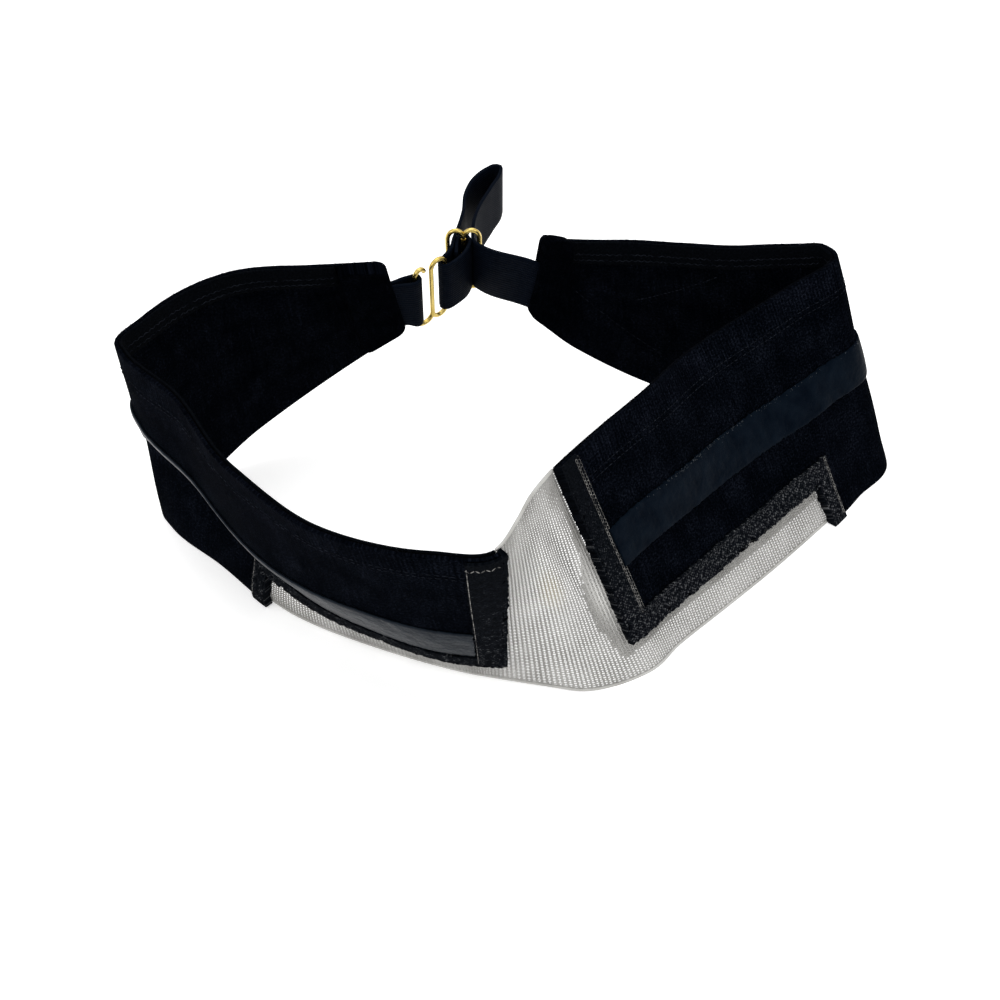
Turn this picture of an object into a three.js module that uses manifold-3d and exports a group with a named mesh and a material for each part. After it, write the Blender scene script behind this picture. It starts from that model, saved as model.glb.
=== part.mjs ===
// Wig grip band: a stretch velvet head band with a net front, two glossy grip strips,
// and an elastic strap with a hook and a slider at the back. Millimetres, +Z up.
// The band stands on its lower edge, with its front towards -Y.
import * as THREE from 'three';
import { mergeVertices } from 'three/addons/utils/BufferGeometryUtils.js';
import Module from 'manifold-3d';

const wasm = await Module();
wasm.setup();

// Driving dimensions
const LOOP_WIDTH = 192;          // standing band, left to right along its lower edge
const LOOP_DEPTH = 105;          // standing band, front to back along its lower edge
const BAND_WIDTH = 60;           // full width of the flat band
const VELVET_WALL = 1.0;
const NET_WALL = 1.0;
const HEM_WALL = 0.6;
const GRIP_WALL = 0.6;
const LAYER_GAP = 0.3;           // clearance between sewn layers
const FRONT_NET = 29;            // net showing between the two velvet ends
const NET_DROP = 11.5;           // net strip that shows below each velvet panel
const LEFT_NET_RUN = 69;         // how far that strip runs back from the velvet end
const RIGHT_NET_RUN = 78;
const SEAM = 5;                  // net that lies hidden behind the velvet
const FRONT_HEM = 6;
const LEFT_LOWER_HEM = 3;
const RIGHT_LOWER_HEM = 5;
const STEP_HEM = 4.5;
const TOP_HEM = 6.5;
const GRIP_WIDTH = 10.5;
const GRIP_CLEARANCE = 0.2;      // grip strip above the left lower hem, where it lies lowest
const CUFF_LENGTH = 12.5;        // doubled cloth at each back end, which holds the strap
const CUFF_WALL = 0.5;
const CUFF_RISE = 1.2;           // the doubled cloth stands this far above the panel's top edge
const CUFF_MARGIN = 1;           // and goes this far below the strap's slot at its mouth
const SLOT_GAP = 0.5;            // clearance on each side of a ply of strap in its cuff
const STRAP_WIDTH = 16;
const STRAP_WALL = 0.9;
const STRAP_TUCK = 9;            // strap sewn in behind each cuff
const RIGHT_STRAP_DROP = 2;      // the long strap enters its cuff below the middle
const SLACK_LENGTH = 30;         // spare strap that stands out behind the slider
const WIRE = 1.3;                // gold wire diameter
const HOOK_LOBE = 5.3;           // open lobe of the hook, bar to bar
const HOOK_EYE = 4.5;            // closed eye of the hook, bar to bar
const SLIDER_PITCH = 4.2;        // bar to bar in the slider
const HOOK_ARCH = 0.8;           // rise of the hook's arched ends
const HOOK_MOUTH = 0.9;          // opening between the hook's tip and its middle bar
const SLIDER_ARCH = 1.3;
const BAR_CLEARANCE = 0.3;
const BAR_END_PLAY = 0.5;        // between the strap's edges and the metal's ends
const SEWN_TAIL = 5;             // end of the long strap, sewn back behind the slider
const PLY_SPREAD = 0.7;          // how far the plies part beside a bar
const PLY_BEND = 3.2;            // how far from a bar they do so
const EYE_BULGE = 2.2;           // how far the long strap rounds out past the hook's eye
const STEP_RUN = 0.6;            // the notch edge leans by this much

// Sections of the standing band, from the left back end round the front to the right back end.
// x and y place the lower edge as shares of LOOP_WIDTH and LOOP_DEPTH. topX and topY move the
// upper edge from there, width is the band's flat width and lift the height of the lower edge
// above the table, and dent pushes the cloth in along the grip strip's lower edge, all as shares of
// BAND_WIDTH. grip is the distance from the top edge down to the grip strip, as a share of
// GRIP_DROP. mark names a section that other sizes use.
const GRIP_DROP = BAND_WIDTH - NET_DROP - LEFT_LOWER_HEM - GRIP_WIDTH - GRIP_CLEARANCE;
const SECTIONS = [
  { x: -0.146, y: 0.530, topX: -0.067, topY: -0.125, width: 0.460, lift: 0.475, grip: 0.259, dent: 0 },
  { x: -0.234, y: 0.486, topX: -0.090, topY: -0.125, width: 0.650, lift: 0.310, grip: 0.345, dent: 0 },
  { x: -0.349, y: 0.376, topX: -0.070, topY: -0.055, width: 0.870, lift: 0.125, grip: 0.431, dent: 0 },
  { x: -0.440, y: 0.200, topX: -0.063, topY: -0.065, width: 0.995, lift: 0.005, grip: 0.500, dent: 0 },
  { x: -0.466, y: 0.135, topX: -0.053, topY: -0.098, width: 1.000, lift: 0.000, grip: 0.586, dent: 0.02 },
  { x: -0.452, y: 0.092, topX: -0.066, topY: -0.087, width: 1.000, lift: 0.000, grip: 0.655, dent: 0.05 },
  { x: -0.378, y: -0.043, topX: -0.080, topY: -0.115, width: 1.000, lift: 0.000, grip: 0.828, dent: 0.085 },
  { x: -0.281, y: -0.222, topX: -0.122, topY: -0.215, width: 1.000, lift: 0.000, grip: 0.991, dent: 0.05 },
  { x: -0.167, y: -0.334, topX: -0.145, topY: -0.310, width: 1.000, lift: 0.000, grip: 1.000, dent: 0.01 },
  { x: -0.057, y: -0.410, topX: -0.110, topY: -0.310, width: 1.000, lift: 0.000, grip: 0.991, dent: 0 },
  { x: -0.013, y: -0.429, topX: -0.020, topY: -0.285, width: 1.000, lift: 0.000, grip: 0.983, dent: 0 },
  { x: 0.042, y: -0.450, topX: -0.105, topY: -0.110, width: 1.000, lift: 0.000, grip: 0.862, dent: 0 },
  { x: 0.085, y: -0.464, topX: -0.200, topY: 0.045, width: 1.000, lift: 0.000, grip: 0.776, dent: 0, mark: 'front centre' },
  { x: 0.126, y: -0.448, topX: -0.290, topY: 0.145, width: 1.000, lift: 0.000, grip: 0.690, dent: 0 },
  { x: 0.167, y: -0.410, topX: -0.380, topY: 0.200, width: 1.000, lift: 0.000, grip: 0.603, dent: 0 },
  { x: 0.214, y: -0.314, topX: -0.350, topY: 0.280, width: 1.000, lift: 0.000, grip: 0.603, dent: 0 },
  { x: 0.281, y: -0.190, topX: -0.365, topY: 0.350, width: 1.000, lift: 0.000, grip: 0.612, dent: 0 },
  { x: 0.365, y: -0.029, topX: -0.415, topY: 0.400, width: 1.000, lift: 0.000, grip: 0.629, dent: 0 },
  { x: 0.470, y: 0.200, topX: -0.350, topY: 0.320, width: 1.000, lift: 0.000, grip: 0.655, dent: 0 },
  { x: 0.520, y: 0.345, topX: -0.297, topY: 0.263, width: 1.000, lift: 0.000, grip: 0.655, dent: 0 },
  { x: 0.513, y: 0.405, topX: -0.313, topY: 0.203, width: 1.000, lift: 0.000, grip: 0.638, dent: 0 },
  { x: 0.470, y: 0.450, topX: -0.270, topY: 0.120, width: 0.980, lift: 0.000, grip: 0.603, dent: 0 },
  { x: 0.375, y: 0.500, topX: -0.190, topY: 0.030, width: 0.930, lift: 0.015, grip: 0.534, dent: 0 },
  { x: 0.270, y: 0.525, topX: -0.130, topY: 0.015, width: 0.850, lift: 0.080, grip: 0.466, dent: 0 },
  { x: 0.180, y: 0.530, topX: -0.080, topY: 0.020, width: 0.730, lift: 0.200, grip: 0.397, dent: 0 },
  { x: 0.090, y: 0.540, topX: -0.020, topY: 0.000, width: 0.570, lift: 0.360, grip: 0.328, dent: 0 },
  { x: 0.021, y: 0.530, topX: 0.060, topY: -0.075, width: 0.455, lift: 0.570, grip: 0.259, dent: 0 },
];

// Smooth curve through a list of values at rising places, with its slopes from the neighbours.
// With level true the slopes are held back so that the curve never swings past its values.
function smoothCurve(places, values, level) {
  const last = places.length - 1;
  const slopes = values.map((value, i) => {
    const before = Math.max(i - 1, 0);
    const after = Math.min(i + 1, last);
    const left = i > 0 ? (value - values[before]) / (places[i] - places[before]) : null;
    const right = i < last ? (values[after] - value) / (places[after] - places[i]) : null;
    if (left === null || right === null) return left ?? right;
    if (level && left * right <= 0) return 0;
    if (level) return (2 * left * right) / (left + right);
    const total = places[after] - places[before];
    return (left * (places[after] - places[i]) + right * (places[i] - places[before])) / total;
  });
  return (place) => {
    let i = 0;
    while (i < last - 1 && place > places[i + 1]) i += 1;
    const run = places[i + 1] - places[i];
    const t = (place - places[i]) / run;
    const start = (1 + 2 * t) * (1 - t) * (1 - t) * values[i] + t * (1 - t) * (1 - t) * run * slopes[i];
    return start + t * t * (3 - 2 * t) * values[i + 1] - t * t * (1 - t) * run * slopes[i + 1];
  };
}

// The band as a ruled surface: a lower edge, an upper edge and straight lines between them.
const lowerX = SECTIONS.map((row) => row.x * LOOP_WIDTH);
const lowerY = SECTIONS.map((row) => row.y * LOOP_DEPTH);
const topX = SECTIONS.map((row) => row.topX * BAND_WIDTH);
const topY = SECTIONS.map((row) => row.topY * BAND_WIDTH);
const rowPlaces = [0];
for (let i = 1; i < SECTIONS.length; i += 1) {
  const dx = lowerX[i] + topX[i] / 2 - lowerX[i - 1] - topX[i - 1] / 2;
  const dy = lowerY[i] + topY[i] / 2 - lowerY[i - 1] - topY[i - 1] / 2;
  rowPlaces.push(rowPlaces[i - 1] + Math.hypot(dx, dy));
}
const curves = {
  x: smoothCurve(rowPlaces, lowerX, false),
  y: smoothCurve(rowPlaces, lowerY, false),
  topX: smoothCurve(rowPlaces, topX, false),
  topY: smoothCurve(rowPlaces, topY, false),
  width: smoothCurve(rowPlaces, SECTIONS.map((row) => row.width * BAND_WIDTH), true),
  lift: smoothCurve(rowPlaces, SECTIONS.map((row) => row.lift * BAND_WIDTH), true),
  grip: smoothCurve(rowPlaces, SECTIONS.map((row) => row.grip * GRIP_DROP), true),
  dent: smoothCurve(rowPlaces, SECTIONS.map((row) => row.dent * BAND_WIDTH), true),
};

function sectionAt(place) {
  const width = curves.width(place);
  const lean = new THREE.Vector2(curves.topX(place), curves.topY(place));
  const rise = Math.sqrt(width * width - lean.lengthSq());
  const up = new THREE.Vector3(lean.x, lean.y, rise).divideScalar(width);
  const low = new THREE.Vector3(curves.x(place), curves.y(place), curves.lift(place));
  const gripTop = width - curves.grip(place);
  const dent = curves.dent(place);
  return { low, up, width, gripTop, dent, middle: low.clone().addScaledVector(up, width / 2) };
}

// Distance along the band's middle, measured in millimetres from the front centre.
const FINE_STEP = 0.25;
const fine = [];
{
  const end = rowPlaces[rowPlaces.length - 1];
  const count = Math.ceil(end / FINE_STEP);
  const centrePlace = rowPlaces[SECTIONS.findIndex((row) => row.mark === 'front centre')];
  let travelled = 0;
  let travelledToCentre = 0;
  let previous = null;
  for (let i = 0; i <= count; i += 1) {
    const place = (i / count) * end;
    const middle = sectionAt(place).middle;
    if (previous) travelled += middle.distanceTo(previous);
    if (place <= centrePlace) travelledToCentre = travelled;
    fine.push({ place, along: travelled });
    previous = middle;
  }
  fine.forEach((entry) => { entry.along -= travelledToCentre; });
}
const LEFT_END = fine[0].along;
const RIGHT_END = fine[fine.length - 1].along;

function placeOf(along) {
  let low = 0;
  let high = fine.length - 1;
  while (high - low > 1) {
    const half = Math.floor((low + high) / 2);
    if (fine[half].along <= along) low = half;
    else high = half;
  }
  const share = (along - fine[low].along) / (fine[high].along - fine[low].along);
  return fine[low].place + share * (fine[high].place - fine[low].place);
}

// Places along the band that the panels, the net, the hems and the grip strips share.
const velvetEnd = FRONT_NET / 2;
const leftStep = -velvetEnd - LEFT_NET_RUN;
const rightStep = velvetEnd + RIGHT_NET_RUN;
const gripFront = velvetEnd + FRONT_HEM + LAYER_GAP;

// The dent is deepest at the strip's lower edge, and ends at its upper edge and at the band's
// lower edge.
function dentAt(section, height) {
  if (section.dent === 0) return 0;
  const deepest = section.gripTop - GRIP_WIDTH;
  if (height < deepest) return section.dent * THREE.MathUtils.smoothstep(height, 0, deepest);
  return section.dent * (1 - THREE.MathUtils.smoothstep(height, deepest, section.gripTop));
}

// A point of the band: along it from the front centre, up it from the lower edge and out from
// its face. On the lower edge itself the cloth is cut level, so that it stands flat.
function bandPoint(along, height, out) {
  const inside = THREE.MathUtils.clamp(along, LEFT_END, RIGHT_END);
  const section = sectionAt(placeOf(inside));
  const before = sectionAt(placeOf(Math.max(inside - FINE_STEP, LEFT_END)));
  const after = sectionAt(placeOf(Math.min(inside + FINE_STEP, RIGHT_END)));
  const from = before.low.clone().addScaledVector(before.up, height);
  const to = after.low.clone().addScaledVector(after.up, height);
  const tangent = to.sub(from).normalize();
  const normal = tangent.clone().cross(section.up).normalize();
  const face = out - dentAt(section, height);
  const point = section.low.clone().addScaledVector(section.up, height).addScaledVector(normal, face);
  point.addScaledVector(tangent, along - inside);
  if (height === 0) point.addScaledVector(section.up, (section.low.z - point.z) / section.up.z);
  return point;
}

const sectionAlong = (along) => sectionAt(placeOf(THREE.MathUtils.clamp(along, LEFT_END, RIGHT_END)));
const widthAt = (along) => sectionAlong(along).width;

// Shared stations along the band, closer together where it turns sharply.
const TURN_STEP = THREE.MathUtils.degToRad(9);
const LONGEST_STEP = 5.6;
const SHORTEST_STEP = 0.4;
const stations = [LEFT_END];
{
  let lastAlong = LEFT_END;
  let turned = 0;
  let heading = null;
  for (const { place, along } of fine) {
    const here = sectionAt(place);
    const ahead = sectionAt(Math.min(place + FINE_STEP, rowPlaces[rowPlaces.length - 1]));
    const direction = ahead.middle.clone().sub(here.middle).setZ(0).normalize();
    if (heading && direction.lengthSq() > 0) turned += direction.angleTo(heading);
    if (direction.lengthSq() > 0) heading = direction;
    const far = along - lastAlong > LONGEST_STEP || turned > TURN_STEP;
    if (far && RIGHT_END - along > SHORTEST_STEP) {
      stations.push(along);
      lastAlong = along;
      turned = 0;
    }
  }
  stations.push(RIGHT_END);
}

function alongSteps(from, to) {
  const first = from + SHORTEST_STEP;
  const between = stations.filter((along) => along > first && along < to - SHORTEST_STEP);
  return [from, ...between, to];
}

// A closed body from rows of points. Each row is one ring of a loop section, in order.
function loft(rings) {
  const count = rings[0].length;
  const positions = rings.flatMap((ring) => ring.flatMap((point) => [point.x, point.y, point.z]));
  const faces = [];
  for (let i = 0; i < rings.length - 1; i += 1) {
    for (let j = 0; j < count; j += 1) {
      const a = i * count + j;
      const b = i * count + ((j + 1) % count);
      faces.push(a, b, b + count, a, b + count, a + count);
    }
  }
  const lastRing = (rings.length - 1) * count;
  for (let j = 1; j < count - 1; j += 1) {
    faces.push(0, j + 1, j);
    faces.push(lastRing, lastRing + j, lastRing + j + 1);
  }
  return closedGeometry(positions, faces);
}

// Makes a geometry and turns its faces outwards if they point in.
function closedGeometry(positions, faces) {
  let volume = 0;
  const corner = (index) => new THREE.Vector3().fromArray(positions, index * 3);
  for (let i = 0; i < faces.length; i += 3) {
    volume += corner(faces[i]).dot(corner(faces[i + 1]).cross(corner(faces[i + 2])));
  }
  const index = volume > 0 ? faces : faces.slice().reverse();
  const geometry = new THREE.BufferGeometry();
  geometry.setAttribute('position', new THREE.Float32BufferAttribute(positions, 3));
  geometry.setIndex(index);
  return geometry;
}

// A layer of cloth on the band, between two offsets from its face. Each line holds the flat
// points from one long edge to the other, as [along, height], and all have the same number.
function layer(lines, inner, outer) {
  const across = lines[0].length;
  const last = lines.length - 1;
  const positions = [inner, outer].flatMap((out) => lines.flatMap((line) => (
    line.flatMap(([along, height]) => bandPoint(along, height, out).toArray())
  )));
  const at = (face, i, j) => (face * lines.length + i) * across + j;
  const faces = [];
  const quad = (a, b, c, d) => faces.push(a, b, c, a, c, d);
  for (let i = 0; i < last; i += 1) {
    for (let j = 0; j < across - 1; j += 1) {
      quad(at(0, i, j), at(0, i, j + 1), at(0, i + 1, j + 1), at(0, i + 1, j));
      quad(at(1, i, j), at(1, i + 1, j), at(1, i + 1, j + 1), at(1, i, j + 1));
    }
    quad(at(0, i, 0), at(0, i + 1, 0), at(1, i + 1, 0), at(1, i, 0));
    quad(at(0, i, across - 1), at(1, i, across - 1), at(1, i + 1, across - 1), at(0, i + 1, across - 1));
  }
  for (let j = 0; j < across - 1; j += 1) {
    quad(at(0, 0, j), at(1, 0, j), at(1, 0, j + 1), at(0, 0, j + 1));
    quad(at(0, last, j), at(0, last, j + 1), at(1, last, j + 1), at(1, last, j));
  }
  return closedGeometry(positions, faces);
}

// Even steps from one value to another, both included.
const spread = (from, to, count) => (
  Array.from({ length: count + 1 }, (_, i) => THREE.MathUtils.lerp(from, to, i / count))
);
const upright = (along, heights) => heights.map((height) => [along, height]);

// Heights across the cloth, with the same steps over the grip strip in every layer.
const GRIP_ROWS = 4;
const PLAIN_ROWS = 5;
function gripHeights(along) {
  const { gripTop } = sectionAlong(along);
  return spread(gripTop - GRIP_WIDTH, gripTop, GRIP_ROWS);
}
function panelHeights(along, low) {
  const grip = gripHeights(along);
  return [
    ...spread(low, grip[0], PLAIN_ROWS).slice(0, -1), ...grip,
    ...spread(grip[GRIP_ROWS], widthAt(along), PLAIN_ROWS).slice(1),
  ];
}

function toSolid(geometry) {
  const plain = geometry.clone();
  plain.deleteAttribute('normal');
  plain.deleteAttribute('uv');
  const merged = mergeVertices(plain);
  const vertProperties = new Float32Array(merged.attributes.position.array);
  const triVerts = new Uint32Array(merged.index.array);
  return new wasm.Manifold(new wasm.Mesh({ numProp: 3, vertProperties, triVerts }));
}

function fromSolid(solid) {
  const mesh = solid.getMesh();
  const geometry = new THREE.BufferGeometry();
  geometry.setAttribute('position', new THREE.BufferAttribute(mesh.vertProperties, 3));
  geometry.setIndex(new THREE.BufferAttribute(mesh.triVerts, 1));
  return geometry;
}

// A round wire along a list of points. A closed wire joins its last point to its first.
function wire(points, closed) {
  const sides = 8;
  const count = points.length;
  const rings = points.map((point, i) => {
    const before = points[closed ? (i + count - 1) % count : Math.max(i - 1, 0)];
    const after = points[closed ? (i + 1) % count : Math.min(i + 1, count - 1)];
    const tangent = after.clone().sub(before).normalize();
    const side = new THREE.Vector3(0, 1, 0);
    const other = tangent.clone().cross(side).normalize();
    return Array.from({ length: sides }, (_, k) => {
      const turn = ((k + 0.5) / sides) * 2 * Math.PI;
      return point.clone()
        .addScaledVector(side, (Math.cos(turn) * WIRE) / 2)
        .addScaledVector(other, (Math.sin(turn) * WIRE) / 2);
    });
  });
  if (!closed) return loft(rings);
  const positions = rings.flatMap((ring) => ring.flatMap((point) => [point.x, point.y, point.z]));
  const faces = [];
  for (let i = 0; i < count; i += 1) {
    for (let j = 0; j < sides; j += 1) {
      const a = i * sides + j;
      const b = i * sides + ((j + 1) % sides);
      const shift = (((i + 1) % count) - i) * sides;
      faces.push(a, b, b + shift, a, b + shift, a + shift);
    }
  }
  return closedGeometry(positions, faces);
}

const velvet = new THREE.MeshStandardMaterial({ name: 'velvet', color: 0x0a0b12, roughness: 0.95 });
const hemCloth = new THREE.MeshStandardMaterial({ name: 'hem', color: 0x15151b, roughness: 0.9 });
const netCloth = new THREE.MeshStandardMaterial({ name: 'net', color: 0xd8d5ce, roughness: 0.8 });
const gripFilm = new THREE.MeshStandardMaterial({ name: 'grip', color: 0x10131c, roughness: 0.35 });
const elastic = new THREE.MeshStandardMaterial({ name: 'elastic', color: 0x0b0c12, roughness: 0.8 });
const gold = new THREE.MeshStandardMaterial({
  name: 'gold', color: 0xd0ac48, roughness: 0.25, metalness: 1,
});

const part = new THREE.Group();
const band = new THREE.Group();
part.add(band);

function addMesh(name, geometry, material) {
  const mesh = new THREE.Mesh(geometry, material);
  mesh.name = name;
  band.add(mesh);
}

// Velvet panels, full width at the back and cut away over the net strip at the front.
const panelLine = (along, low) => upright(along, panelHeights(along, low));
const leftPanel = [
  ...alongSteps(LEFT_END, leftStep).map((along) => panelLine(along, 0)),
  ...alongSteps(leftStep + STEP_RUN, -velvetEnd).map((along) => panelLine(along, NET_DROP)),
];
const rightPanel = [
  ...alongSteps(velvetEnd, rightStep - STEP_RUN).map((along) => panelLine(along, NET_DROP)),
  ...alongSteps(rightStep, RIGHT_END).map((along) => panelLine(along, 0)),
];
addMesh('velvet_left_panel', layer(leftPanel, 0, VELVET_WALL), velvet);
addMesh('velvet_right_panel', layer(rightPanel, 0, VELVET_WALL), velvet);

// Net: full width between the velvet ends, and a strip below each panel, with a seam allowance
// that lies behind the velvet.
const NET_ROWS = 6;
const netOuter = -LAYER_GAP;
const netInner = netOuter - NET_WALL;
const netFull = velvetEnd + SEAM;
const netLine = (along, high) => upright(along, spread(0, high, NET_ROWS));
const net = [
  ...alongSteps(leftStep - SEAM, -netFull - STEP_RUN).map((along) => netLine(along, NET_DROP + SEAM)),
  ...alongSteps(-netFull, netFull).map((along) => netLine(along, widthAt(along))),
  ...alongSteps(netFull + STEP_RUN, rightStep + SEAM).map((along) => netLine(along, NET_DROP + SEAM)),
];
addMesh('front_net', layer(net, netInner, netOuter), netCloth);

// Turned hems on the outer face: down the velvet's front end, back along its lower edge and
// down the edge of the notch.
const hemInner = VELVET_WALL + LAYER_GAP;
const hemOuter = hemInner + HEM_WALL;

const HEM_COLUMNS = 3;
const HEM_ROWS = 8;
const between = (from, to) => spread(0, 1, HEM_COLUMNS).map((share) => (
  from.map((value, k) => THREE.MathUtils.lerp(value, to[k], share))
));

function frontHem(side, step, lowerHem) {
  const end = side * velvetEnd;
  const corner = end + side * FRONT_HEM;
  const low = NET_DROP + lowerHem;
  const lines = spread(0, 1, HEM_ROWS).map((share) => between(
    [end, THREE.MathUtils.lerp(widthAt(end), NET_DROP, share)],
    [corner, THREE.MathUtils.lerp(widthAt(corner), low, share)],
  ));
  const run = alongSteps(Math.min(corner, step), Math.max(corner, step)).slice(1, -1);
  if (side < 0) run.reverse();
  run.forEach((along) => lines.push(between([along, NET_DROP], [along, low])));
  lines.push(between([step - side * STEP_RUN, NET_DROP], [step + side * STEP_HEM, low]));
  spread(1, 0, PLAIN_ROWS).slice(1).forEach((share) => {
    lines.push(between([step, share * NET_DROP], [step + side * STEP_HEM, share * low]));
  });
  return layer(lines, hemInner, hemOuter);
}
addMesh('left_front_hem', frontHem(-1, leftStep, LEFT_LOWER_HEM), hemCloth);
addMesh('right_front_hem', frontHem(1, rightStep, RIGHT_LOWER_HEM), hemCloth);

// Top hems, turned to the inside.
function topHem(from, to) {
  const lines = alongSteps(from, to)
    .map((along) => upright(along, [widthAt(along) - TOP_HEM, widthAt(along)]));
  return layer(lines, -LAYER_GAP - HEM_WALL, -LAYER_GAP);
}
const hemStart = netFull + STEP_RUN;
addMesh('left_top_hem', topHem(LEFT_END + CUFF_LENGTH + LAYER_GAP, -hemStart), hemCloth);
addMesh('right_top_hem', topHem(hemStart, RIGHT_END - CUFF_LENGTH - LAYER_GAP), hemCloth);

// Grip strips on the outer face, from the front hem round the fold to the back end.
function gripStrip(from, to) {
  const lines = alongSteps(from, to).map((along) => upright(along, gripHeights(along)));
  return layer(lines, hemInner, hemInner + GRIP_WALL);
}
addMesh('left_grip_strip', gripStrip(LEFT_END + LAYER_GAP, -gripFront), gripFilm);
addMesh('right_grip_strip', gripStrip(gripFront, RIGHT_END - LAYER_GAP), gripFilm);

// Cuffs: doubled cloth inside each back end, with a slot for one or two plies of strap.
const slotInset = LAYER_GAP + CUFF_WALL;
const slotDepth = (plies) => plies * STRAP_WALL + (plies + 1) * SLOT_GAP;
const plyOut = (ply) => -slotInset - SLOT_GAP - STRAP_WALL / 2 - ply * (STRAP_WALL + SLOT_GAP);

function cuff(end, side, plies, drop) {
  const from = end - side * CUFF_LENGTH;
  const slotHalf = STRAP_WIDTH / 2 + SLOT_GAP;
  const bottom = widthAt(end) / 2 - drop - slotHalf - CUFF_MARGIN;
  const whole = alongSteps(Math.min(from, end), Math.max(from, end))
    .map((along) => upright(along, [bottom, widthAt(along) + CUFF_RISE]));
  const depth = slotDepth(plies);
  const body = toSolid(layer(whole, -slotInset - depth - CUFF_WALL, -LAYER_GAP));
  const tuckEnd = end - side * (STRAP_TUCK + LAYER_GAP);
  const past = end + side * STRAP_WALL;
  const slot = alongSteps(Math.min(tuckEnd, past), Math.max(tuckEnd, past)).map((along) => {
    const middle = widthAt(along) / 2 - drop;
    return upright(along, [middle - slotHalf, middle + slotHalf]);
  });
  return fromSolid(body.subtract(toSolid(layer(slot, -slotInset - depth, -slotInset))));
}
addMesh('left_end_cuff', cuff(LEFT_END, -1, 2, 0), velvet);
addMesh('right_end_cuff', cuff(RIGHT_END, 1, 1, RIGHT_STRAP_DROP), velvet);

// Frames for the hook and the slider, on the way between the two back ends. turn is the angle
// of the metal in plan, lean tips its top towards the front, across and back are shares of
// the gap between the ends, and rise is a share of STRAP_WIDTH above the left end.
const HARDWARE = {
  hook: { across: 0.260, back: 0.090, rise: -0.04, turn: 40, lean: 10 },
  slider: { across: 0.490, back: 0.390, rise: 0.09, turn: 3, lean: 8 },
};
const leftMiddle = sectionAt(0).middle;
const rightMiddle = sectionAt(rowPlaces[rowPlaces.length - 1]).middle;
const gap = Math.hypot(rightMiddle.x - leftMiddle.x, rightMiddle.y - leftMiddle.y);

function metalFrame({ across, back, rise, turn, lean }) {
  const centre = leftMiddle.clone().lerp(rightMiddle, across).setZ(leftMiddle.z + rise * STRAP_WIDTH);
  centre.y += back * gap;
  const leanAngle = THREE.MathUtils.degToRad(lean);
  const turnAngle = THREE.MathUtils.degToRad(turn);
  const up = new THREE.Vector3(0, -Math.sin(leanAngle), Math.cos(leanAngle));
  const along = new THREE.Vector3(Math.cos(turnAngle), Math.sin(turnAngle), 0);
  const behind = up.clone().cross(along).normalize();
  return { centre, up, along: behind.clone().cross(up).normalize(), behind };
}
const hookFrame = metalFrame(HARDWARE.hook);
const sliderFrame = metalFrame(HARDWARE.slider);

function inFrame(frame, along, behind, up = 0) {
  return frame.centre.clone()
    .addScaledVector(frame.along, along)
    .addScaledVector(frame.behind, behind)
    .addScaledVector(frame.up, up);
}

// Bends a wire drawn in its own plane into its frame.
function setInFrame(geometry, frame) {
  const matrix = new THREE.Matrix4().makeBasis(frame.along, frame.behind, frame.up);
  matrix.setPosition(frame.centre);
  return geometry.applyMatrix4(matrix);
}

// Half the height of the metal's bars, which pass the strap's edges.
const barHalf = STRAP_WIDTH / 2 + BAR_END_PLAY + WIRE / 2;

// The arched end of one lobe, from the bar at one side to the bar at the other.
function arch(from, to, sign, rise) {
  const steps = 6;
  return Array.from({ length: steps + 1 }, (_, i) => {
    const t = i / steps;
    const height = barHalf + rise * Math.sin(t * Math.PI);
    return new THREE.Vector3(THREE.MathUtils.lerp(from, to, t), 0, sign * height);
  });
}

// Slider: a ring pinched at its middle bar.
function makeSlider() {
  const p = SLIDER_PITCH;
  const ring = [
    ...arch(-p, 0, 1, SLIDER_ARCH).slice(0, -1), ...arch(0, p, 1, SLIDER_ARCH),
    ...arch(p, 0, -1, SLIDER_ARCH).slice(0, -1), ...arch(0, -p, -1, SLIDER_ARCH),
  ];
  const bar = [new THREE.Vector3(0, 0, barHalf), new THREE.Vector3(0, 0, 0),
    new THREE.Vector3(0, 0, -barHalf)];
  const solid = toSolid(wire(ring, true)).add(toSolid(wire(bar, false)));
  return fromSolid(solid);
}
addMesh('strap_slider', setInFrame(makeSlider(), sliderFrame), gold);

// Hook: a closed eye on the right, and on the left an open lobe whose tip ends short of the bar.
function makeHook() {
  const eye = [...arch(0, HOOK_EYE, 1, HOOK_ARCH), ...arch(HOOK_EYE, 0, -1, HOOK_ARCH)];
  const tipEnd = -WIRE - HOOK_MOUTH;
  const lobe = [
    ...arch(0, -HOOK_LOBE, -1, HOOK_ARCH),
    ...arch(-HOOK_LOBE, tipEnd, 1, HOOK_ARCH),
  ];
  return fromSolid(toSolid(wire(eye, true)).add(toSolid(wire(lobe, false))));
}
addMesh('strap_hook', setInFrame(makeHook(), hookFrame), gold);

// Elastic straps stand on edge. A route is a list of middle points with the strap's own up.
const wrapRadius = WIRE / 2 + BAR_CLEARANCE + STRAP_WALL / 2;
const secondPly = wrapRadius + STRAP_WALL + LAYER_GAP;

function wrap(frame, along, fromAngle, toAngle, steps) {
  return Array.from({ length: steps + 1 }, (_, i) => {
    const angle = THREE.MathUtils.degToRad(THREE.MathUtils.lerp(fromAngle, toAngle, i / steps));
    const point = inFrame(frame, along + wrapRadius * Math.cos(angle), wrapRadius * Math.sin(angle));
    return { point, up: frame.up };
  });
}

const routePoint = (frame, along, behind) => ({ point: inFrame(frame, along, behind), up: frame.up });

// A ply of strap inside its cuff, from the sewn end to the mouth of the slot.
function tuckedPly(end, side, ply, drop = 0) {
  return spread(STRAP_TUCK, 0, 4).map((inside) => {
    const along = end - side * inside;
    const point = bandPoint(along, widthAt(along) / 2 - drop, plyOut(ply));
    return { point, up: sectionAlong(along).up };
  });
}

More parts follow.
